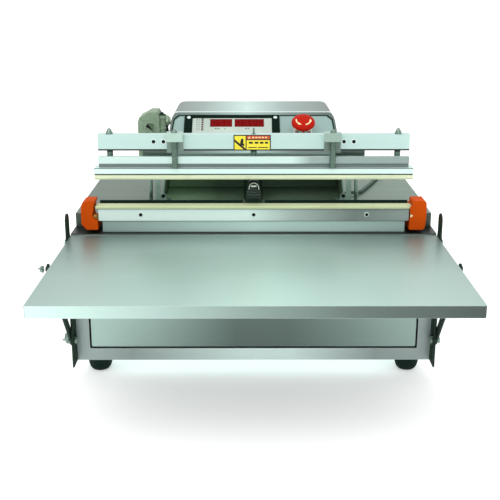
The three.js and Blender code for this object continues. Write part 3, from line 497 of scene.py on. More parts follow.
def smooth_by_angle(degrees):
    """A modifier group that shades a mesh smooth except across edges sharper than an angle."""
    group = bpy.data.node_groups.new("smooth_%g" % degrees, "GeometryNodeTree")
    group.interface.new_socket("Geometry", in_out="INPUT", socket_type="NodeSocketGeometry")
    group.interface.new_socket("Geometry", in_out="OUTPUT", socket_type="NodeSocketGeometry")
    source = group.nodes.new("NodeGroupInput")
    faces = group.nodes.new("GeometryNodeSetShadeSmooth")
    faces.inputs["Shade Smooth"].default_value = True
    angle = group.nodes.new("GeometryNodeInputMeshEdgeAngle")
    sharp = group.nodes.new("FunctionNodeCompare")
    sharp.operation = "GREATER_THAN"
    sharp.inputs["B"].default_value = math.radians(degrees)
    crease = group.nodes.new("GeometryNodeSetShadeSmooth")
    crease.domain = "EDGE"
    crease.inputs["Shade Smooth"].default_value = False
    sink = group.nodes.new("NodeGroupOutput")
    group.links.new(source.outputs[0], faces.inputs["Geometry"])
    group.links.new(faces.outputs["Geometry"], crease.inputs["Geometry"])
    group.links.new(angle.outputs["Unsigned Angle"], sharp.inputs["A"])
    group.links.new(sharp.outputs["Result"], crease.inputs["Selection"])
    group.links.new(crease.outputs["Geometry"], sink.inputs[0])
    return group


creases = smooth_by_angle(38)


# Flat faces of these have strips too thin to be merged into one outline.
THIN_STRIPS = ("control_head",)


def soften(obj, width, segments=2):
    """Rounds an object's sharp edges by a width in millimetres, and shades it by angle."""
    weld = obj.modifiers.new("weld", "WELD")
    weld.merge_threshold = 0.005 * MM
    if width and obj.name not in THIN_STRIPS:
        flats = obj.modifiers.new("flats", "DECIMATE")
        flats.decimate_type = "DISSOLVE"
        flats.angle_limit = math.radians(0.6)
    if width:
        bevel = obj.modifiers.new("bevel", "BEVEL")
        bevel.width = width * MM
        bevel.segments = segments
        bevel.limit_method = "ANGLE"
        bevel.angle_limit = math.radians(40)
        bevel.use_clamp_overlap = True
    shading = obj.modifiers.new("creases", "NODES")
    shading.node_group = creases
    if width:
        weights = obj.modifiers.new("weights", "WEIGHTED_NORMAL")
        weights.keep_sharp = True


slots = {part["node"]: part["material_slot"] for part in frame["record"]["subparts"]}
edge_width = {
    "cabinet_body": 0.5, "deck_plate": 1.0, "front_panel": 0.8, "tray": 1.2,
    "upper_jaw_bar": 0.7, "lower_jaw_bar": 0.7, "lower_jaw_support": 0.8, "control_head": 0.8,
    "upper_seal_pad": 0.6, "lower_seal_pad": 0.4, "end_cap_left": 1.6, "end_cap_right": 1.6,
    "press_arm_left": 0.9, "press_arm_right": 0.9, "pump_head": 2.0, "nozzle_head": 1.5,
    "panel_bezel": 0.5, "slot_bracket_left": 0.4, "slot_bracket_right": 0.4, "brace_left": 0.4,
    "brace_right": 0.4, "control_panel": 0.3,
}
for name, obj in nodes.items():
    material = node_finish.get(name) or finishes[slots[name]]
    obj.data.materials.clear()
    obj.data.materials.append(material)
    soften(obj, edge_width.get(name, 0))


# ---- Piece building ------------------------------------------------------------------------------

def ring(radius, height, count=24, sides=0):
    """Points round the Z axis at a height: a circle, or a polygon of that inside radius."""
    points = []
    for i in range(count):
        angle = 2 * math.pi * i / count
        reach = radius
        if sides:
            step = 2 * math.pi / sides
            reach = radius / math.cos(angle % step - step / 2)
        points.append((reach * math.cos(angle), reach * math.sin(angle), height))
    return points


def loft(rings, closed=False):
    """A mesh through rings of equally many points, in millimetres, capped or joined end to end."""
    bm = bmesh.new()
    rows = [[bm.verts.new(Vector(point) * MM) for point in row] for row in rings]
    count = len(rings[0])
    pairs = list(zip(rows, rows[1:]))
    if closed:
        pairs.append((rows[-1], rows[0]))
    for low, high in pairs:
        for i in range(count):
            j = (i + 1) % count
            bm.faces.new((low[i], low[j], high[j], high[i]))
    if not closed:
        bm.faces.new(rows[0][::-1])
        bm.faces.new(rows[-1])
    bmesh.ops.recalc_face_normals(bm, faces=bm.faces)
    return bm


def turned(profile, count=28):
    """A piece turned about Z from [radius, height] pairs; it starts and ends near the axis."""
    return loft([ring(max(r, 0.01), z, count) for r, z in profile])


def washer(inner, outer, low, high, count=28, lip=0.3):
    """A flat ring with its outer rim eased."""
    section = [(inner, low), (outer, low), (outer, high - lip), (outer - lip, high), (inner, high)]
    return loft([ring(r, z, count) for r, z in section], closed=True)


def thread(radius, low, high, pitch=1.5, depth=0.45):
    """A profile of thread ridges from one height to another."""
    turns = int((high - low) / pitch)
    points = []
    for i in range(turns):
        z = low + i * pitch
        points += [(radius, z), (radius, z + 0.35 * pitch), (radius - depth, z + 0.65 * pitch)]
    return points + [(radius, low + turns * pitch)]


def slab(points, low, high):
    """A flat outline in XY, in millimetres, given a thickness."""
    bm = bmesh.new()
    bottom = [bm.verts.new((x * MM, y * MM, low * MM)) for x, y in points]
    top = [bm.verts.new((x * MM, y * MM, high * MM)) for x, y in points]
    bm.faces.new(bottom[::-1])
    bm.faces.new(top)
    for i in range(len(points)):
        j = (i + 1) % len(points)
        bm.faces.new((bottom[i], bottom[j], top[j], top[i]))
    bmesh.ops.recalc_face_normals(bm, faces=bm.faces)
    return bm


def rounded(x0, x1, y0, y1, r, steps=4):
    """The outline of a rounded rectangle."""
    points = []
    for cx, cy, start in ((x1 - r, y0 + r, -90), (x1 - r, y1 - r, 0), (x0 + r, y1 - r, 90),
                          (x0 + r, y0 + r, 180)):
        for i in range(steps + 1):
            angle = math.radians(start + 90 * i / steps)
            points.append((cx + r * math.cos(angle), cy + r * math.sin(angle)))
    return points


def merged(*parts):
    """Several meshes as one."""
    bm = bmesh.new()
    for part in parts:
        mesh = bpy.data.meshes.new("part")
        part.to_mesh(mesh)
        part.free()
        bm.from_mesh(mesh)
        bpy.data.meshes.remove(mesh)
    return bm


def moved(bm, x=0.0, y=0.0, z=0.0, turn=0.0):
    """A mesh turned about Z by degrees, then shifted in millimetres."""
    bm.transform(Matrix.Translation((x * MM, y * MM, z * MM)) @ Matrix.Rotation(math.radians(turn), 4, "Z"))
    return bm


def facing(point, normal, up=(0, 0, 1)):
    """A frame at a point whose Z is the normal and whose Y is near up."""
    z = Vector(normal).normalized()
    x = Vector(up).cross(z).normalized()
    y = z.cross(x)
    matrix = Matrix((x, y, z)).transposed().to_4x4()
    matrix.translation = Vector(point)
    return matrix


FRONT, BACK, UP, LEFT, RIGHT = (0, -1, 0), (0, 1, 0), (0, 0, 1), (-1, 0, 0), (1, 0, 0)


def piece(name, bm, at, body, slot, width=0.0, segments=2, replaces=()):
    """Puts a mesh in the scene, finishes it and hands it to a body."""
    mesh = bpy.data.meshes.new(name)
    bm.to_mesh(mesh)
    bm.free()
    obj = bpy.data.objects.new(name, mesh)
    bpy.context.scene.collection.objects.link(obj)
    obj.matrix_world = at
    mesh.materials.append(finishes.get(slot) or extra[slot])
    soften(obj, width, segments)
    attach(obj, body)
    if replaces:
        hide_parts(*replaces)
    return obj


# ---- Screws --------------------------------------------------------------------------------------

def socket_screw(name, point, normal, body, head=3.4, height=1.6, slot="black_plastic", rim=None):
    """Button-head screw with a hexagon socket, on an optional pale washer."""
    rings = [
        ring(head, -0.4), ring(head, height * 0.45), ring(head * 0.82, height * 0.88),
        ring(head * 0.6, height),
        ring(head * 0.44, height, sides=6), ring(head * 0.42, height * 0.3, sides=6),
    ]
    piece(name, loft(rings), facing(point, normal), body, slot)
    if rim:
        piece(name + "_washer", washer(head * 0.7, rim, -0.2, 0.55), facing(point, normal), body,
              "fold_highlight")


def cross_screw(name, point, normal, body, head=2.8, height=1.4, slot="bright_steel"):
    """Pan-head screw with a cross recess cut as a sunken plus."""
    count = 32
    arm, gap = head * 0.62, head * 0.17

    def plus(height_at, grow=0.0):
        points = []
        for i in range(count):
            angle = 2 * math.pi * i / count
            c, s = abs(math.cos(angle)), abs(math.sin(angle))
            reach = min(arm / max(c, s), gap / max(min(c, s), 1e-6)) + grow
            points.append((reach * math.cos(angle), reach * math.sin(angle), height_at))
        return points

    rings = [
        ring(head, -0.4, count), ring(head, height * 0.4, count), ring(head * 0.85, height * 0.85, count),
        ring(head * 0.72, height, count), plus(height), plus(height * 0.45, -0.1),
    ]
    return piece(name, loft(rings), facing(point, normal), body, slot)


# Lower seal bar: three screws along its face.
bar_low, bar_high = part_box("lower_jaw_bar")
for index, x in enumerate((-0.179, 0.0, 0.179)):
    where = (x, bar_low.y + 0.8 * MM, bar_low.z + 10.2 * MM)
    socket_screw("bar_screw_%d" % (index + 1), where, FRONT, "cabinet", head=2.8, height=1.2, rim=3.9)

# Press beam: two socket screws beside each arm hold the rod clamps behind it.
beam_low, beam_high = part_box("press_beam")
for side, sign in (("left", -1), ("right", 1)):
    for index, x in enumerate((140.4, 155.8)):
        where = (sign * x * MM, beam_low.y, (beam_low.z + beam_high.z) / 2 + 1.6 * MM)
        socket_screw("beam_screw_%s_%d" % (side, index + 1), where, FRONT, "press", head=3.0, height=1.4,
                     rim=4.3)
    end = sign * beam_high.x
    plug = slab(rounded(-7.7, 7.7, -12.2, 12.2, 2.6), -8, 1.6)
    centre = (end - sign * 1.9 * MM, (beam_low.y + beam_high.y) / 2, (beam_low.z + beam_high.z) / 2)
    piece("beam_plug_" + side, plug, facing(centre, (sign, 0, 0)), "press", "beam_aluminium", 0.8)

# ---- Threaded studs, rods and nuts ---------------------------------------------------------------

for side in ("left", "right"):
    low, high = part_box("hanger_stud_" + side)
    x, y = (low.x + high.x) / 2, (low.y + high.y) / 2
    radius = (high.x - low.x) / 2 / MM
    length = (high.z - low.z) / MM
    profile = [(0, 0), (radius - 0.4, 0), (radius, 0.4)] + thread(radius, 0.6,
                                                                  length - 6) + [(0, length - 5.5)]
    piece("hanger_thread_" + side, turned(profile), facing((x, y, low.z), UP, BACK), "press",
          "bright_steel",
          replaces=["hanger_stud_" + side])
    nut = loft([
        ring(4.3, length - 5.2, sides=6), ring(4.3, length - 3.3, sides=6), ring(3.8, length - 2.8),
        ring(3.0, length - 1.2), ring(1.6, length - 0.3), ring(0.3, length),
    ])
    piece("hanger_nut_" + side, nut, facing((x, y, low.z), UP, BACK), "press", "bright_steel", 0.25)
for where in ("left", "middle", "right"):
    low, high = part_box("adjuster_" + where)
    x, y = (low.x + high.x) / 2, (low.y + high.y) / 2
    foot = (beam_low.z - low.z) / MM
    top = (beam_high.z - low.z) / MM
    length = (high.z - low.z) / MM
    profile = [(0, 0), (4.8, 0)] + thread(5.0, 0.4, foot - 0.6, 1.6) + [(3.9, foot - 0.3), (3.9, top)]
    if where == "middle":
        profile += thread(1.5, top + 0.2, length, 0.8, 0.2) + [(0, length)]
    else:
        profile += [(0, top + 0.1)]
    piece("adjuster_thread_" + where, turned(profile), facing((x, y, low.z), UP, BACK), "press",
          "bright_steel",
          replaces=["adjuster_" + where])
    if where != "middle":
        nut = loft([
            ring(4.9, top + 0.3, sides=6), ring(4.9, top + 2.8, sides=6), ring(4.3, top + 3.4),
            ring(3.8, top + 5.6),
            ring(2.6, top + 7.6), ring(1.2, length - 0.2), ring(0.2, length),
        ])
        piece("adjuster_nut_" + where, nut, facing((x, y, low.z), UP, BACK), "press", "bright_steel", 0.3)

# Guide collars round the rods where they come up through the deck.
deck_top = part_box("control_head")[0].z - 0.3 * MM
for side in ("left", "right"):
    low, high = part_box("press_cylinder_" + side)
    x, y = (low.x + high.x) / 2, (low.y + high.y) / 2
    collar = loft([ring(r, z, 30) for r, z in (
        (9.2, 0.2), (13.5, 0.2), (13.5, 1.6), (12.7, 2.3), (10.6, 2.3), (10.2, 3.0), (9.2, 3.0))],
        closed=True)
    piece("rod_collar_" + side, collar, facing((x, y, deck_top), UP, BACK), "cabinet", "dark_steel")
    wiper = loft([ring(r, z, 24) for r, z in ((3.5, 0), (7.4, 0), (7.0, 1.3), (4.6, 2.2), (3.4, 1.8))],
                 closed=True)
    piece("rod_wiper_" + side, wiper, facing((x, y, high.z), UP, BACK), "cabinet", "rubber")

# ---- Control panel -------------------------------------------------------------------------------

TILT = math.atan2(57, 88)
plate_low, plate_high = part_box("control_panel")
foot = (plate_low.y - 9 * MM * math.cos(TILT), plate_high.z - 94 * MM * math.sin(TILT))
panel = Matrix.Translation((0, foot[0], foot[1])) @ Matrix.Rotation(TILT, 4, "X")


def on_panel(name, bm, slot, width=0.0, body="cabinet"):
    return piece(name, bm, panel, body, slot, width)


for side, x in (("left", -111.6), ("right", 38.6)):
    for level, s in (("upper", 85.6), ("lower", 20.0)):
        point = panel @ Vector((x * MM, s * MM, 3.0 * MM))
        cross_screw("bezel_screw_%s_%s" % (side, level), point, panel.to_3x3() @ Vector(UP), "cabinet",
                    head=3.3,
                    slot="fold_highlight")

# Dark sealing strip in the joint round the removable panel.
seam = []
for grow, height in ((1.3, 0.1), (1.3, 0.5), (-1.3, 0.5), (-1.3, 0.1)):
    low_s, high_s = 9 - grow, 94 + grow
    halves = [half + grow for half in (143, 137.5, 129)]
    seam.append([(-halves[0], low_s, height), (halves[0], low_s, height), (halves[1], high_s - 10, height),
                 (halves[2], high_s, height), (-halves[2], high_s, height),
                 (-halves[1], high_s - 10, height)])
on_panel("panel_seam", loft(seam, closed=True), "dark_steel")

# Indicator lamps in a column with a short unlettered mark beside each.
lamps, lamp_marks = [], []
for row in range(7):
    s = 55.5 + 4.6 * row
    lamps.append(slab(rounded(-89.6, -86.0, s - 1.1, s + 1.1, 0.5, 2), 1.3, 2.3))
    for column, width in ((-98.6, 3.4), (-94.0, 1.8)):
        lamp_marks.append(slab([(column, s - 0.7), (column + width, s - 0.7), (column + width, s + 0.5),
                                (column, s + 0.5)], 1.45, 1.62))
on_panel("indicator_lamps", merged(*lamps), "lamp_brown", 0.2)
on_panel("indicator_marks", merged(*lamp_marks), "print_grey")
key_marks = []
for x0, x1 in ((-66, -63), (-61.5, -58), (-49.5, -47.5), (-14, -11), (-9.5, -7)):
    key_marks.append(slab([(x0, 57.6), (x1, 57.6), (x1, 60.0), (x0, 60.0)], 1.45, 1.62))
on_panel("display_marks", merged(*key_marks), "print_grey")

# Seven-segment figures behind each red window.
SEGMENTS = {"a": (0, 1, 0), "d": (0, -1, 0), "g": (0, 0, 0), "f": (-1, 0.5, 1), "b": (1, 0.5, 1),
            "e": (-1, -0.5, 1),
            "c": (1, -0.5, 1)}
DIGITS = {"0": "abcdef", "3": "abcdg", "5": "acdfg", "8": "abcdefg"}


def figure(x, s, half, tall, lit):
    """The bars of one seven-segment figure; lit picks the shining ones or the dark ones."""
    bars = []
    for key, (column, level, upright) in SEGMENTS.items():
        if (key in DIGITS[lit[0]]) != lit[1]:
            continue
        length, thick = (tall / 2 - 1.1, 0.85) if upright else (half - 0.9, 0.85)
        outline = [(-length, 0), (-length + thick, thick), (length - thick, thick), (length, 0),
                   (length - thick, -thick), (-length + thick, -thick)]
        if upright:
            outline = [(-v, u * 0.92) for u, v in outline]
        bars.append(slab([(x + column * half + u, s + level * tall + v) for u, v in outline], 1.88, 2.02))
    return bars


for name, text in (("display_time", "050"), ("display_heat", "0350")):
    low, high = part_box(name)
    middle_s = (63.9 + 82.9) / 2
    pitch = (high.x - low.x) / MM / len(text)
    lit, dark = [], []
    for index, digit in enumerate(text):
        x = low.x / MM + (index + 0.5) * pitch
        lit += figure(x, middle_s, pitch * 0.27, 6.4, (digit, True))
        dark += figure(x, middle_s, pitch * 0.27, 6.4, (digit, False))
    on_panel(name + "_lit", merged(*lit), "segment_lit")
    on_panel(name + "_dark", merged(*dark), "segment_dark")

# Emergency stop: two turn arrows on the dome, a knurled ring and the lock ring's lugs under it.
DOME = [(20, 22), (18.2, 25), (13.5, 27.6), (7, 28.8), (0, 29)]


def dome_height(radius):
    for (r1, z1), (r0, z0) in zip(DOME, DOME[1:]):
        if r0 <= radius <= r1:
            return z0 + (z1 - z0) * (radius - r0) / (r1 - r0)
    return DOME[-1][1]


def arc_arrow(centre_angle, sweep, radius=12.2, half=1.05):
    """A bent arrow that lies on the dome."""
    bm = bmesh.new()
    rows = []
    steps = 14
    for i in range(steps + 1):
        t = i / steps
        angle = math.radians(centre_angle - sweep / 2 + sweep * t)
        spread = half if t < 0.68 else half * 2.1 * (1 - t) / 0.32 + 0.1
        row = []
        for across in (-1, 0, 1):
            r = radius + across * spread
            row.append((r * math.cos(angle), r * math.sin(angle), dome_height(r)))
        rows.append(row)
    top = [[bm.verts.new((x * MM, y * MM, (z + 0.28) * MM)) for x, y, z in row] for row in rows]
    under = [[bm.verts.new((x * MM, y * MM, (z - 0.3) * MM)) for x, y, z in row] for row in rows]
    for i in range(steps):
        for j in range(2):
            bm.faces.new((top[i][j], top[i + 1][j], top[i + 1][j + 1], top[i][j + 1]))
            bm.faces.new((under[i][j], under[i][j + 1], under[i + 1][j + 1], under[i + 1][j]))
        for j in (0, 2):
            bm.faces.new((top[i][j], top[i + 1][j], under[i + 1][j], under[i][j]))
    for i in (0, steps):
        for j in range(2):
            bm.faces.new((top[i][j], top[i][j + 1], under[i][j + 1], under[i][j]))
    bmesh.ops.recalc_face_normals(bm, faces=bm.faces)
    return bm


stop = panel @ Matrix.Translation((85 * MM, 51.5 * MM, 0))
arrows = merged(arc_arrow(212, 84), arc_arrow(-32, 84))
piece("estop_arrows", arrows, stop, "estop_head", "print_cream")
grip = []
for i in range(3):
    grip.append(slab(rounded(-2.6, 2.6, -0.9, 0.9, 0.8, 3), 15.2, 18.8))
    grip[-1].transform(Matrix.Rotation(math.radians(120 * i + 30), 4,
                                       "Z") @ Matrix.Translation((18.2 * MM, 0, 0)))
piece("estop_grips", merged(*grip), stop, "estop_head", "red_plastic", 0.4)
knurl = [(2 * math.pi * k / 72, 0.35 * (k % 2)) for k in range(72)]
knurled = loft([
    [((r + out) * math.cos(a), (r + out) * math.sin(a), z) for a, out in knurl]
    for r, z in ((14.2, 0.3), (15.6, 0.3), (15.6, 3.2), (14.2, 3.9))
], closed=True)
piece("estop_ring", knurled, stop, "cabinet", "collar_metal")
lugs = [moved(slab(rounded(-2.2, 2.2, -1.5, 1.5, 0.7, 3), 4.8, 11.9), 10.6 * math.cos(a),
              10.6 * math.sin(a), 0)
        for a in (math.radians(d) for d in (-118, -62, 62, 118))]
piece("estop_lugs", merged(*lugs), stop, "cabinet", "key_plastic", 0.4)

# Raised signs on the three keys, without lettering.
for index, x in enumerate((-78, -50, -22)):
    sign_shape = [slab([(x - 3.2, 33.4), (x + 3.2, 33.4), (x + 3.2, 34.6), (x - 3.2, 34.6)], 3.15, 3.4)]
    if index == 1:
        sign_shape.append(slab([(x - 0.6, 30.8), (x + 0.6, 30.8), (x + 0.6, 37.2), (x - 0.6, 37.2)], 3.15,
                               3.4))
    if index == 2:
        sign_shape = [slab(rounded(x - 2.4, x + 2.4, 31.6, 36.4, 2.3, 6), 3.15, 3.4)]
    on_panel("key_sign_%d" % (index + 1), merged(*sign_shape), "print_grey", body="key_%d" % (index + 1))

# ---- Control head --------------------------------------------------------------------------------

head_low, head_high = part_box("control_head")
fold_y = foot[0] + 88 * MM
half_top = (head_high.x - 0.1108 * (head_high.z - deck_top)) / MM - 12.2
# A pale rounded strip along the top fold, as a painted highlight on the edge.
bar = loft([ring(2.3, -half_top, 20), ring(2.3, half_top, 20)])
piece("head_fold_highlight", bar, facing((0, fold_y + 0.4 * MM, head_high.z - 2.25 * MM), RIGHT), "cabinet",
      "fold_highlight")
flange_high = 41
for side, sign in (("left", -1), ("right", 1)):
    foot_x = sign * (-head_low.x / MM - 4)
    tab = slab([(foot_x - sign * u, v) for u, v in ((0, 0), (8.5, 0), (11, 4), (11, 22), (0, 22))], 0.1,
               1.8)
    at_tab = Matrix.Translation((0, head_low.y + 2 * MM, deck_top))
    piece("head_tab_" + side, tab, at_tab, "cabinet", "painted_mint", 0.4)
    socket_screw("tab_screw_" + side, ((foot_x - sign * 7) * MM, head_low.y + 12 * MM, deck_top + 1.8 * MM),
                 UP,
                 "cabinet", head=3.8, height=2.4)
    # An upright flange beside the bay, with a screwed lug that reaches into its lower corner.
    lug = [(3.8 + 4.7 * math.cos(math.radians(d)), 11.4 + 4.7 * math.sin(math.radians(d)))
           for d in range(0, 160, 15)]
    flange = [(-9.6, 0.2), (11.9, 0.2), (11.2, 2.4), (9.2, 6.5)] + lug + [(-0.4, 14), (-0.4, flange_high),
                                                                        (-9.6, flange_high)]
    edge = sign * -head_low.x / MM
    at_front = facing((0, head_low.y - 0.2 * MM, deck_top), FRONT)
    piece("bay_flange_" + side, slab([(edge - sign * u, v) for u, v in flange], 0, 1.5), at_front,
          "cabinet",
          "arm_metal", 0.4)
    socket_screw("bay_screw_" + side, ((edge - sign * 3.8) * MM, head_low.y - 1.7 * MM,
                                       deck_top + 11.4 * MM), FRONT,
                 "cabinet", head=3.2, height=1.5)

# A sheet on the deck inside the bay, darkened with painted shade by its bay_black finish.
bay_low, bay_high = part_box("bay_liner")
mat_half = bay_high.x / MM - 1.5
sheet = slab([(-mat_half, 0), (mat_half, 0), (mat_half - 1, 106), (-mat_half + 1, 106)], 0.05, 0.28)
piece("bay_floor_shade", sheet, Matrix.Translation((0, bay_low.y - 2 * MM, deck_top)), "cabinet", "bay_black")

# ---- Seal bars -----------------------------------------------------------------------------------

pad_low, pad_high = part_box("lower_seal_pad")
# Black rubber stop strips behind the lower pad, whose black also stands in for the shade behind the jaw: part
# real, part painted shadow.
for side, sign in (("left", -1), ("right", 1)):
    x0, x1 = sorted((sign * 17.5, sign * (pad_high.x / MM - 4)))
    strip = slab([(x0, 30.7), (x1, 30.7), (x1, 32.4), (x0, 32.4)], 0.3, 8.6)
    where = Matrix.Translation((0, pad_low.y - 6.6 * MM, bar_high.z))
    piece("stop_strip_" + side, strip, where, "cabinet", "rubber", 0.4)

# Brass terminal of the heating strip in the left cap's notch, and the cream tip in the right one's.
cap_low, cap_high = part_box("end_cap_left")
terminal = loft([
    ring(3.1, 0, sides=6), ring(3.1, 2.4, sides=6), ring(2.0, 2.5), ring(2.0, 5.0), ring(1.6, 5.4),
])
piece("terminal_stud", terminal, facing((cap_high.x - 3.2 * MM, cap_low.y + 4 * MM, cap_low.z + 22 * MM),
                                        FRONT),
      "cabinet", "brass", 0.2)
lead = slab([(-3.6, -6.5), (2.4, -6.5), (3.4, -1.5), (2.2, 2.4), (-2.4, 2.4), (-3.6, -2)], -0.9, 0.0)
piece("terminal_tag", lead, facing((cap_high.x - 3.2 * MM, cap_low.y + 4.2 * MM, cap_low.z + 22 * MM),
                                   FRONT),
      "cabinet", "brass", 0.2)
right_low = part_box("end_cap_right")[0]
tip = slab([(-2.0, -3.0), (2.6, 0), (-2.0, 3.0)], 0, 1.2)
piece("strip_tip", tip, facing((right_low.x + 3.0 * MM, right_low.y + 1.0 * MM, right_low.z + 23 * MM),
                               FRONT),
      "cabinet", "print_cream", 0.2)
for side, sign in (("left", -1), ("right", 1)):
    low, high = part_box("end_cap_" + side)
    centre_x = (low.x + high.x) / 2 + sign * 3 * MM
    socket_screw("cap_screw_" + side, (centre_x, (low.y + high.y) / 2, high.z), UP, "cabinet", head=3.2,
                 height=1.4)

# ---- Nozzle --------------------------------------------------------------------------------------

noz_low, noz_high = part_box("nozzle_head")
noz_x, noz_w = (noz_low.x + noz_high.x) / 2, (noz_high.x - noz_low.x) / 2 / MM
noz_h = (noz_high.z - noz_low.z) / MM
noz_d = (noz_high.y - noz_low.y) / MM


def nozzle_section(half_width, front, back, height, count=28):
    """A rounded block outline at a height: superellipse in plan, flattened in front."""
    points = []
    middle, half_depth = (front + back) / 2, (back - front) / 2
    for i in range(count):
        angle = 2 * math.pi * i / count
        c, s = math.cos(angle), math.sin(angle)
        x = half_width * math.copysign(abs(c) ** 0.55, c)
        y = middle + half_depth * math.copysign(abs(s) ** 0.55, s)
        points.append((x, y, height))
    return points


shell = [
    (noz_w - 2.2, 3.0, noz_d - 0.5, 0.0), (noz_w - 0.3, 0.6, noz_d, 1.6), (noz_w, 0.1, noz_d, 4.0),
    (noz_w - 0.3, 0.3, noz_d, 9.0), (noz_w - 1.3, 1.2, noz_d, 14.0), (noz_w - 2.6, 2.4, noz_d, 19.0),
    (noz_w - 3.4, 3.4, noz_d, 22.5), (noz_w - 3.6, 4.4, noz_d, 24.0), (noz_w - 3.9, 4.8, noz_d, 28.0),
    (noz_w - 4.9, 5.6, noz_d - 0.6, 32.0), (noz_w - 7.0, 7.4, noz_d - 2, 34.8),
    (noz_w - 10.0, 9.6, noz_d - 5, noz_h),
]
nozzle_at = Matrix.Translation((noz_x, noz_low.y, noz_low.z))
piece("nozzle_shell", loft([nozzle_section(*row) for row in shell]), nozzle_at, "nozzle", "nozzle_plastic",
      replaces=["nozzle_head"])


def swept(points, radius, count=10):
    """A round wire through points, in millimetres, with closed ends."""
    points = [Vector(p) for p in points]
    rings = []
    side = None
    for i, point in enumerate(points):
        ahead = points[min(i + 1, len(points) - 1)] - points[max(i - 1, 0)]
        ahead.normalize()
        if side is None:
            side = ahead.orthogonal().normalized()
        side = (side - ahead * side.dot(ahead)).normalized()
        other = ahead.cross(side)
        angles = [2 * math.pi * k / count for k in range(count)]
        rings.append([point + (side * math.cos(angle) + other * math.sin(angle)) * radius
                      for angle in angles])
    return loft(rings)


# Raised bow round the shoulders, the bright clip inside it, and the ribs across the mouth, pale as a painted
# highlight.
bow = []
for i in range(25):
    t = i / 24
    angle = math.pi * (1.0 - t)
    bow.append((0.4 + 7.6 * math.cos(angle), 2.2, 21.5 + 10.4 * math.sin(angle) ** 0.7))
piece("nozzle_bow", swept(bow, 0.8, 12), nozzle_at, "nozzle", "clip_chrome")
clip = slab(rounded(-4.6, 4.6, -1.6, 1.6, 1.4, 5), 0, 1.1)
piece("nozzle_clip", clip, nozzle_at @ facing((0, 3.6 * MM, 26.6 * MM), (0, -1, 0.5)), "nozzle",
      "clip_chrome", 0.3)
ribs = [swept([(-noz_w + 2.6 + k, 1.0 - 0.5 * k, 18.0 - 4.2 * k), (0, 0.3 - 0.3 * k, 17.2 - 4.2 * k),
               (noz_w - 2.6 - k, 1.0 - 0.5 * k, 18.0 - 4.2 * k)], 0.55, 8) for k in range(2)]
piece("nozzle_ribs", merged(*ribs), nozzle_at, "nozzle", "rib_glint")
mouth = loft([nozzle_section(9.4, 0.0, 8, 2.4), nozzle_section(9.8, -0.35, 8, 3.0),
              nozzle_section(9.8, -0.35, 8, 6.4), nozzle_section(9.4, 0.0, 8, 7.0)])
piece("nozzle_mouth", mouth, nozzle_at, "nozzle", "rubber")
sleeve = swept([(0, noz_d + 0.5, 18), (0, noz_d + 12, 18)], 6.4, 20)
piece("nozzle_cuff", sleeve, nozzle_at, "nozzle", "rubber")

# ---- Vacuum valve on the head's side -------------------------------------------------------------

drum_low, drum_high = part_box("pump_head")
face = facing((drum_low.x, drum_low.y, drum_high.z), FRONT)
# A darker slab in the leaf-shaped recess is painted shade.
leaf = [(12.1, -26.0), (14.6, -20.5), (18.4, -17.4), (24.0, -17.8), (28.6, -20.6), (29.4, -25.6),
        (26.0, -31.5),
        (20.4, -29.6)]
piece("valve_leaf", slab(leaf, 0.1, 0.5), face, "cabinet", "casting_green_and_shade", 0.1)
piece("valve_rim", swept([(x, y, 0.4) for x, y in leaf[-1:] + leaf[:6]], 1.3, 8), face, "cabinet",
      "green_casting")
# Black slabs as painted shade in the casting's hollows.
dark = merged(
    slab([(13.3, -24.6), (16.3, -20.0), (19.4, -22.4), (25.4, -31.4), (21.0, -29.4)], 0.45, 0.8),
    slab([(9.7, -36.4), (14.6, -34.2), (19.0, -35.4), (24.4, -38.4), (20.0, -38.8), (14.2, -38.2)], 0.1,
         0.8),
)
piece("valve_recess_shade", dark, face, "cabinet", "black_plastic")
ridge = swept([(27, -33, 0.6), (22, -38, 0.9), (12, -41, 0.6), (4, -40, 0.3)], 1.2, 8)
piece("valve_ridge", merged(ridge, swept([(1.6, -54, 0.4), (20, -54.5, 0.6), (36, -54, 0.4)], 1.3, 8)),
      face,
      "cabinet", "green_casting")
bracket = slab([(46.4, -18), (50.6, -18), (52.6, -34), (52.6, -47), (49.6, -47), (46.4, -30)], -10.5, -7.5)
piece("valve_bracket", bracket, face, "cabinet", "black_plastic", 0.3)
neck_z = drum_low.z + 80 * MM
flange = loft([ring(8.8, -2.2, 36, sides=6), ring(8.8, 2.2, 36, sides=6)])
piece("valve_nut", flange, facing((drum_high.x - 5 * MM, drum_low.y + 14 * MM, neck_z), RIGHT), "cabinet",
      "green_casting", 0.6)
fins = []
for height in (66.5, 84.5):
    fin = loft([ring(r, z, 28) for r, z in ((7.9, 0), (9.2, 0), (9.2, 3.2), (7.9, 3.2))], closed=True)
    fins.append(moved(fin, 0, 0, height))
valve_x = drum_low.x + 41 * MM
piece("valve_fins", merged(*fins), facing((valve_x, drum_low.y + 12 * MM, drum_low.z), UP, BACK), "cabinet",
      "green_casting", 0.4)
cap = turned([(0.01, 0), (7.4, 0), (7.4, 2), (6.4, 3.4), (3.2, 3.8), (3.0, 6.4), (0.01, 6.6)], 28)
piece("valve_cap", cap, facing((valve_x, drum_low.y + 12 * MM, drum_low.z + 88.5 * MM), UP, BACK),
      "cabinet",
      "dark_steel")
tubes = []
for drop, radius in ((0.0, 2.1), (4.6, 1.3), (7.6, 1.1)):
    tubes.append(swept([(25, -33 - drop, 1.0), (33, -38 - drop, 3.5), (41, -44 - drop, 4.5),
                        (49, -50 - drop, 3.5),
                        (54, -56 - drop * 0.6, -1.0), (56, -64 - drop * 0.4, -8.0)], radius, 10))
piece("valve_tubes", tubes[0], face, "cabinet", "casting_green_and_shade")
piece("valve_wires", merged(*tubes[1:]), face, "cabinet", "tube_clear")

# ---- Air hose ends -------------------------------------------------------------------------------

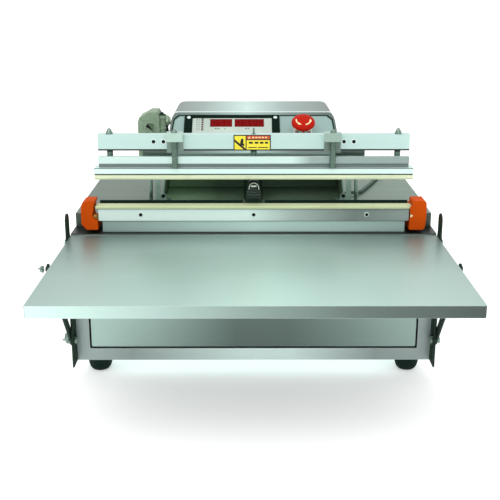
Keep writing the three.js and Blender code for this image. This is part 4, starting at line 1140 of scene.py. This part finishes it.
start, end = Vector(hose_path[0]), Vector(hose_path[-1])
socket = turned([(0.01, -8.5), (5.3, -8.5), (5.3, -1.0), (4.6, -0.2), (4.4, 1.6), (3.3, 1.9), (0.01, 1.9)],
                28)
piece("hose_fitting_head", socket, facing(start, RIGHT), "cabinet", "bright_steel")
elbow = loft([
    ring(6.3, 0.1, sides=6), ring(6.3, 3.6, sides=6), ring(6.2, 3.7), ring(6.2, 11.0), ring(5.2, 12.3),
    ring(3.2, 12.4), ring(3.0, 11.6), ring(0.3, 11.6),
])
elbow_foot = (end.x + 2.2 * MM, end.y + 6.3 * MM, deck_top)
piece("hose_fitting_deck", elbow, facing(elbow_foot, UP, BACK), "cabinet", "bright_steel", 0.3)
cuff = turned([(0.01, -1.4), (4.3, -1.4), (4.6, -0.9), (4.6, 0.8), (0.01, 0.8)], 28)
piece("hose_cuff_deck", cuff, facing(end, (0.33, 0.94, 0)), "cabinet", "bright_steel")

# ---- Cabinet hardware ----------------------------------------------------------------------------

body_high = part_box("cabinet_body")[1]
for side, sign in (("left", -1), ("right", 1)):
    bracket_low, bracket_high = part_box("slot_bracket_" + side)
    outer = bracket_high.x if sign > 0 else bracket_low.x
    for index, z in enumerate((0.14, 0.5, 0.86)):
        height = bracket_low.z + z * (body_high.z - bracket_low.z)
        cross_screw("bracket_screw_%s_%d" % (side, index + 1), (outer, bracket_high.y - 9 * MM, height),
                    (sign, 0, 0),
                    "cabinet", head=3.6, height=1.8)
rear_low, rear_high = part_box("rear_panel")
for index, (x, z) in enumerate(((-0.94, 0.06), (0.94, 0.06), (-0.94, 0.93), (0.94, 0.93), (0, 0.06),
                                (0, 0.93))):
    height = rear_low.z + z * (rear_high.z - rear_low.z)
    cross_screw("rear_screw_%d" % (index + 1), (x * rear_high.x, rear_high.y - 0.4 * MM, height), BACK,
                "cabinet",
                head=3.4, height=0.8)
for index, (x, z) in enumerate(((-0.9, 0.1), (0.9, 0.1), (-0.9, 0.85), (0.9, 0.85))):
    point = (x * 150 * MM, head_high.y, deck_top + z * (head_high.z - deck_top))
    cross_screw("head_screw_%d" % (index + 1), point, BACK, "cabinet", head=3.2)
inlet_low, inlet_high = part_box("power_inlet")
centre = ((inlet_low.x + inlet_high.x) / 2, (inlet_low.z + inlet_high.z) / 2)
pins = [slab([(x - 1, z - 2.4), (x + 1, z - 2.4), (x + 1, z + 2.4), (x - 1, z + 2.4)], -14, -2)
        for x, z in ((-7, -1), (7, -1), (0, 3.2))]
piece("inlet_pins", merged(*pins), facing((centre[0], inlet_high.y, centre[1]), BACK), "cabinet", "brass",
      0.4)
for side, sign in (("left", -1), ("right", 1)):
    point = (centre[0] + sign * 20 * MM, inlet_high.y - 0.7 * MM, centre[1])
    cross_screw("inlet_screw_" + side, point, BACK, "cabinet", head=2.6, height=0.8)

# ---- Tray hardware -------------------------------------------------------------------------------

for side, sign in (("left", -1), ("right", 1)):
    brace_low, brace_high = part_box("brace_" + side)
    outer = brace_low.x if sign < 0 else brace_high.x
    centre = (outer, brace_low.y + 8 * MM, brace_high.z - 8 * MM)
    stem = merged(washer(2.6, 5.6, 0.1, 1.0),
                  loft([ring(4.6, 1.0), ring(4.2, 1.9), ring(2.6, 2.5), ring(0.3, 2.6)]))
    piece("brace_pivot_" + side, stem, facing(centre, (sign, 0, 0)), "brace_link_" + side, "bright_steel",
          0.2)
nut = merged(
    turned([(0.01, 5.6), (5.6, 5.6), (4.4, 9.4), (3.2, 10.4), (0.01, 10.4)], 24),
    *[moved(slab([(2.6, -1.0), (7.5, -1.5), (10.6, -1.1), (11.4, 0), (10.6, 1.1), (7.5, 1.5), (2.6, 1.0)],
                 6.2, 11.0),
            turn=turn) for turn in (24, 204)],
)
left_low, left_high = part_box("brace_left")
piece("tray_wing_nut", nut, facing((left_low.x, left_low.y + 8 * MM, left_high.z - 8 * MM), LEFT),
      "brace_link_left",
      "bright_steel", 0.6)

# ---- Generic hazard plate on the beam, without words ---------------------------------------------

plate_half, plate_tall = 29.0, 24.4
plate = facing((-2.5 * MM, beam_low.y, (beam_low.z + beam_high.z) / 2), FRONT)
piece("hazard_plate", slab(rounded(-plate_half, plate_half, -plate_tall / 2, plate_tall / 2, 1.0), 0.02,
                           0.5), plate,
      "press", "print_black", 0.15)
piece("hazard_picture", slab(rounded(-27.4, -10.2, -10.6, 10.6, 0.5), 0.4, 0.62), plate, "press",
      "print_yellow")
piece("hazard_field", slab(rounded(-8.6, 27.4, -10.6, 4.0, 0.5), 0.4, 0.62), plate, "press", "print_yellow")
piece("hazard_band", slab(rounded(-8.6, 27.4, 5.6, 10.8, 0.5), 0.4, 0.62), plate, "press", "print_orange")
mark = [
    slab([(-27.3, 5.6), (-27.3, 1.2), (-13.6, -10.5), (-10.3, -10.5), (-10.3, -9.2)], 0.55, 0.72),
    slab([(-19.0, -1.4), (-17.2, 5.8), (-14.6, 6.8), (-13.4, 4.4), (-14.0, -0.6), (-11.8, -3.4),
          (-13.0, -5.4),
          (-16.4, -3.9)], 0.55, 0.78),
]
piece("hazard_sign", merged(*mark), plate, "press", "print_black", 0.1)
bars = []
for x0, x1, y0, y1 in ((-5, 1, -1.6, 1.4), (4, 9.5, -1.6, 1.4), (12, 17.5, -1.6, 1.4),
                       (20, 24.6, -1.6, 1.4),
                       (-6, 7, -8.2, -6.8), (9, 24.6, -8.2, -6.8)):
    bars.append(slab([(x0, y0), (x1, y0), (x1, y1), (x0, y1)], 0.58, 0.7))
piece("hazard_lines", merged(*bars), plate, "press", "print_black")
strokes = [slab([(x, 7.2), (x + 3.0, 7.2), (x + 3.0, 9.2), (x, 9.2)], 0.58, 0.7) for x in (0, 5, 10, 15,
                                                                                           20)]
strokes.append(slab([(-6.6, 6.6), (-2.6, 6.6), (-4.6, 9.9)], 0.58, 0.7))
piece("hazard_strokes", merged(*strokes), plate, "press", "print_cream")

# ---- Floor and light -----------------------------------------------------------------------------

def plain(name, colour, roughness):
    n = Nodes(name)
    n.link(n.mixed(n.noise(3.0), shade(colour, 0.995), colour), n.shader.inputs["Base Color"])
    n.set(Roughness=roughness, Emission_Color=(1, 1, 1, 1), Emission_Strength=0.38)
    return n.material


mesh = bpy.data.meshes.new("floor")
mesh.from_pydata([(-30, -30, 0), (30, -30, 0), (30, 60, 0), (-30, 60, 0)], [], [(0, 1, 2, 3)])
floor = bpy.data.objects.new("floor", mesh)
floor.data.materials.append(plain("floor", (0.93, 0.93, 0.93, 1), 0.9))
bpy.context.scene.collection.objects.link(floor)
floor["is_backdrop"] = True

world = bpy.data.worlds.new("studio")
world.use_nodes = True
sky = world.node_tree
direction = sky.nodes.new("ShaderNodeTexCoord")
split = sky.nodes.new("ShaderNodeSeparateXYZ")
sky.links.new(direction.outputs["Generated"], split.inputs[0])
height = sky.nodes.new("ShaderNodeMapRange")
height.interpolation_type = "SMOOTHSTEP"
for socket, value in (("From Min", 0.05), ("From Max", 0.55), ("To Min", 0.62), ("To Max", 1.12)):
    height.inputs[socket].default_value = value
sky.links.new(split.outputs[2], height.inputs["Value"])
sky.nodes["Background"].inputs["Color"].default_value = (1, 1, 1, 1)
sky.links.new(height.outputs["Result"], sky.nodes["Background"].inputs["Strength"])
bpy.context.scene.world = world


def softbox(name, place, aim, width, height, watts):
    light = bpy.data.lights.new(name, "AREA")
    light.shape = "RECTANGLE"
    light.size = width
    light.size_y = height
    light.energy = watts
    obj = bpy.data.objects.new(name, light)
    obj.location = place
    obj.rotation_euler = (Vector(aim) - Vector(place)).to_track_quat("-Z", "Y").to_euler()
    bpy.context.scene.collection.objects.link(obj)


middle = (cad_low + cad_high) / 2
softbox("key", (-0.7, -1.2, 1.6), (0, -0.2, 0.2), 1.0, 0.8, 6)
softbox("floor_fill", (0.0, -1.3, 1.9), (0, -0.7, 0), 2.4, 1.0, 8)

bpy.context.scene.view_settings.view_transform = "Standard"

# ---- Size of the visual model --------------------------------------------------------------------

bpy.context.view_layer.update()
low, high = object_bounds()
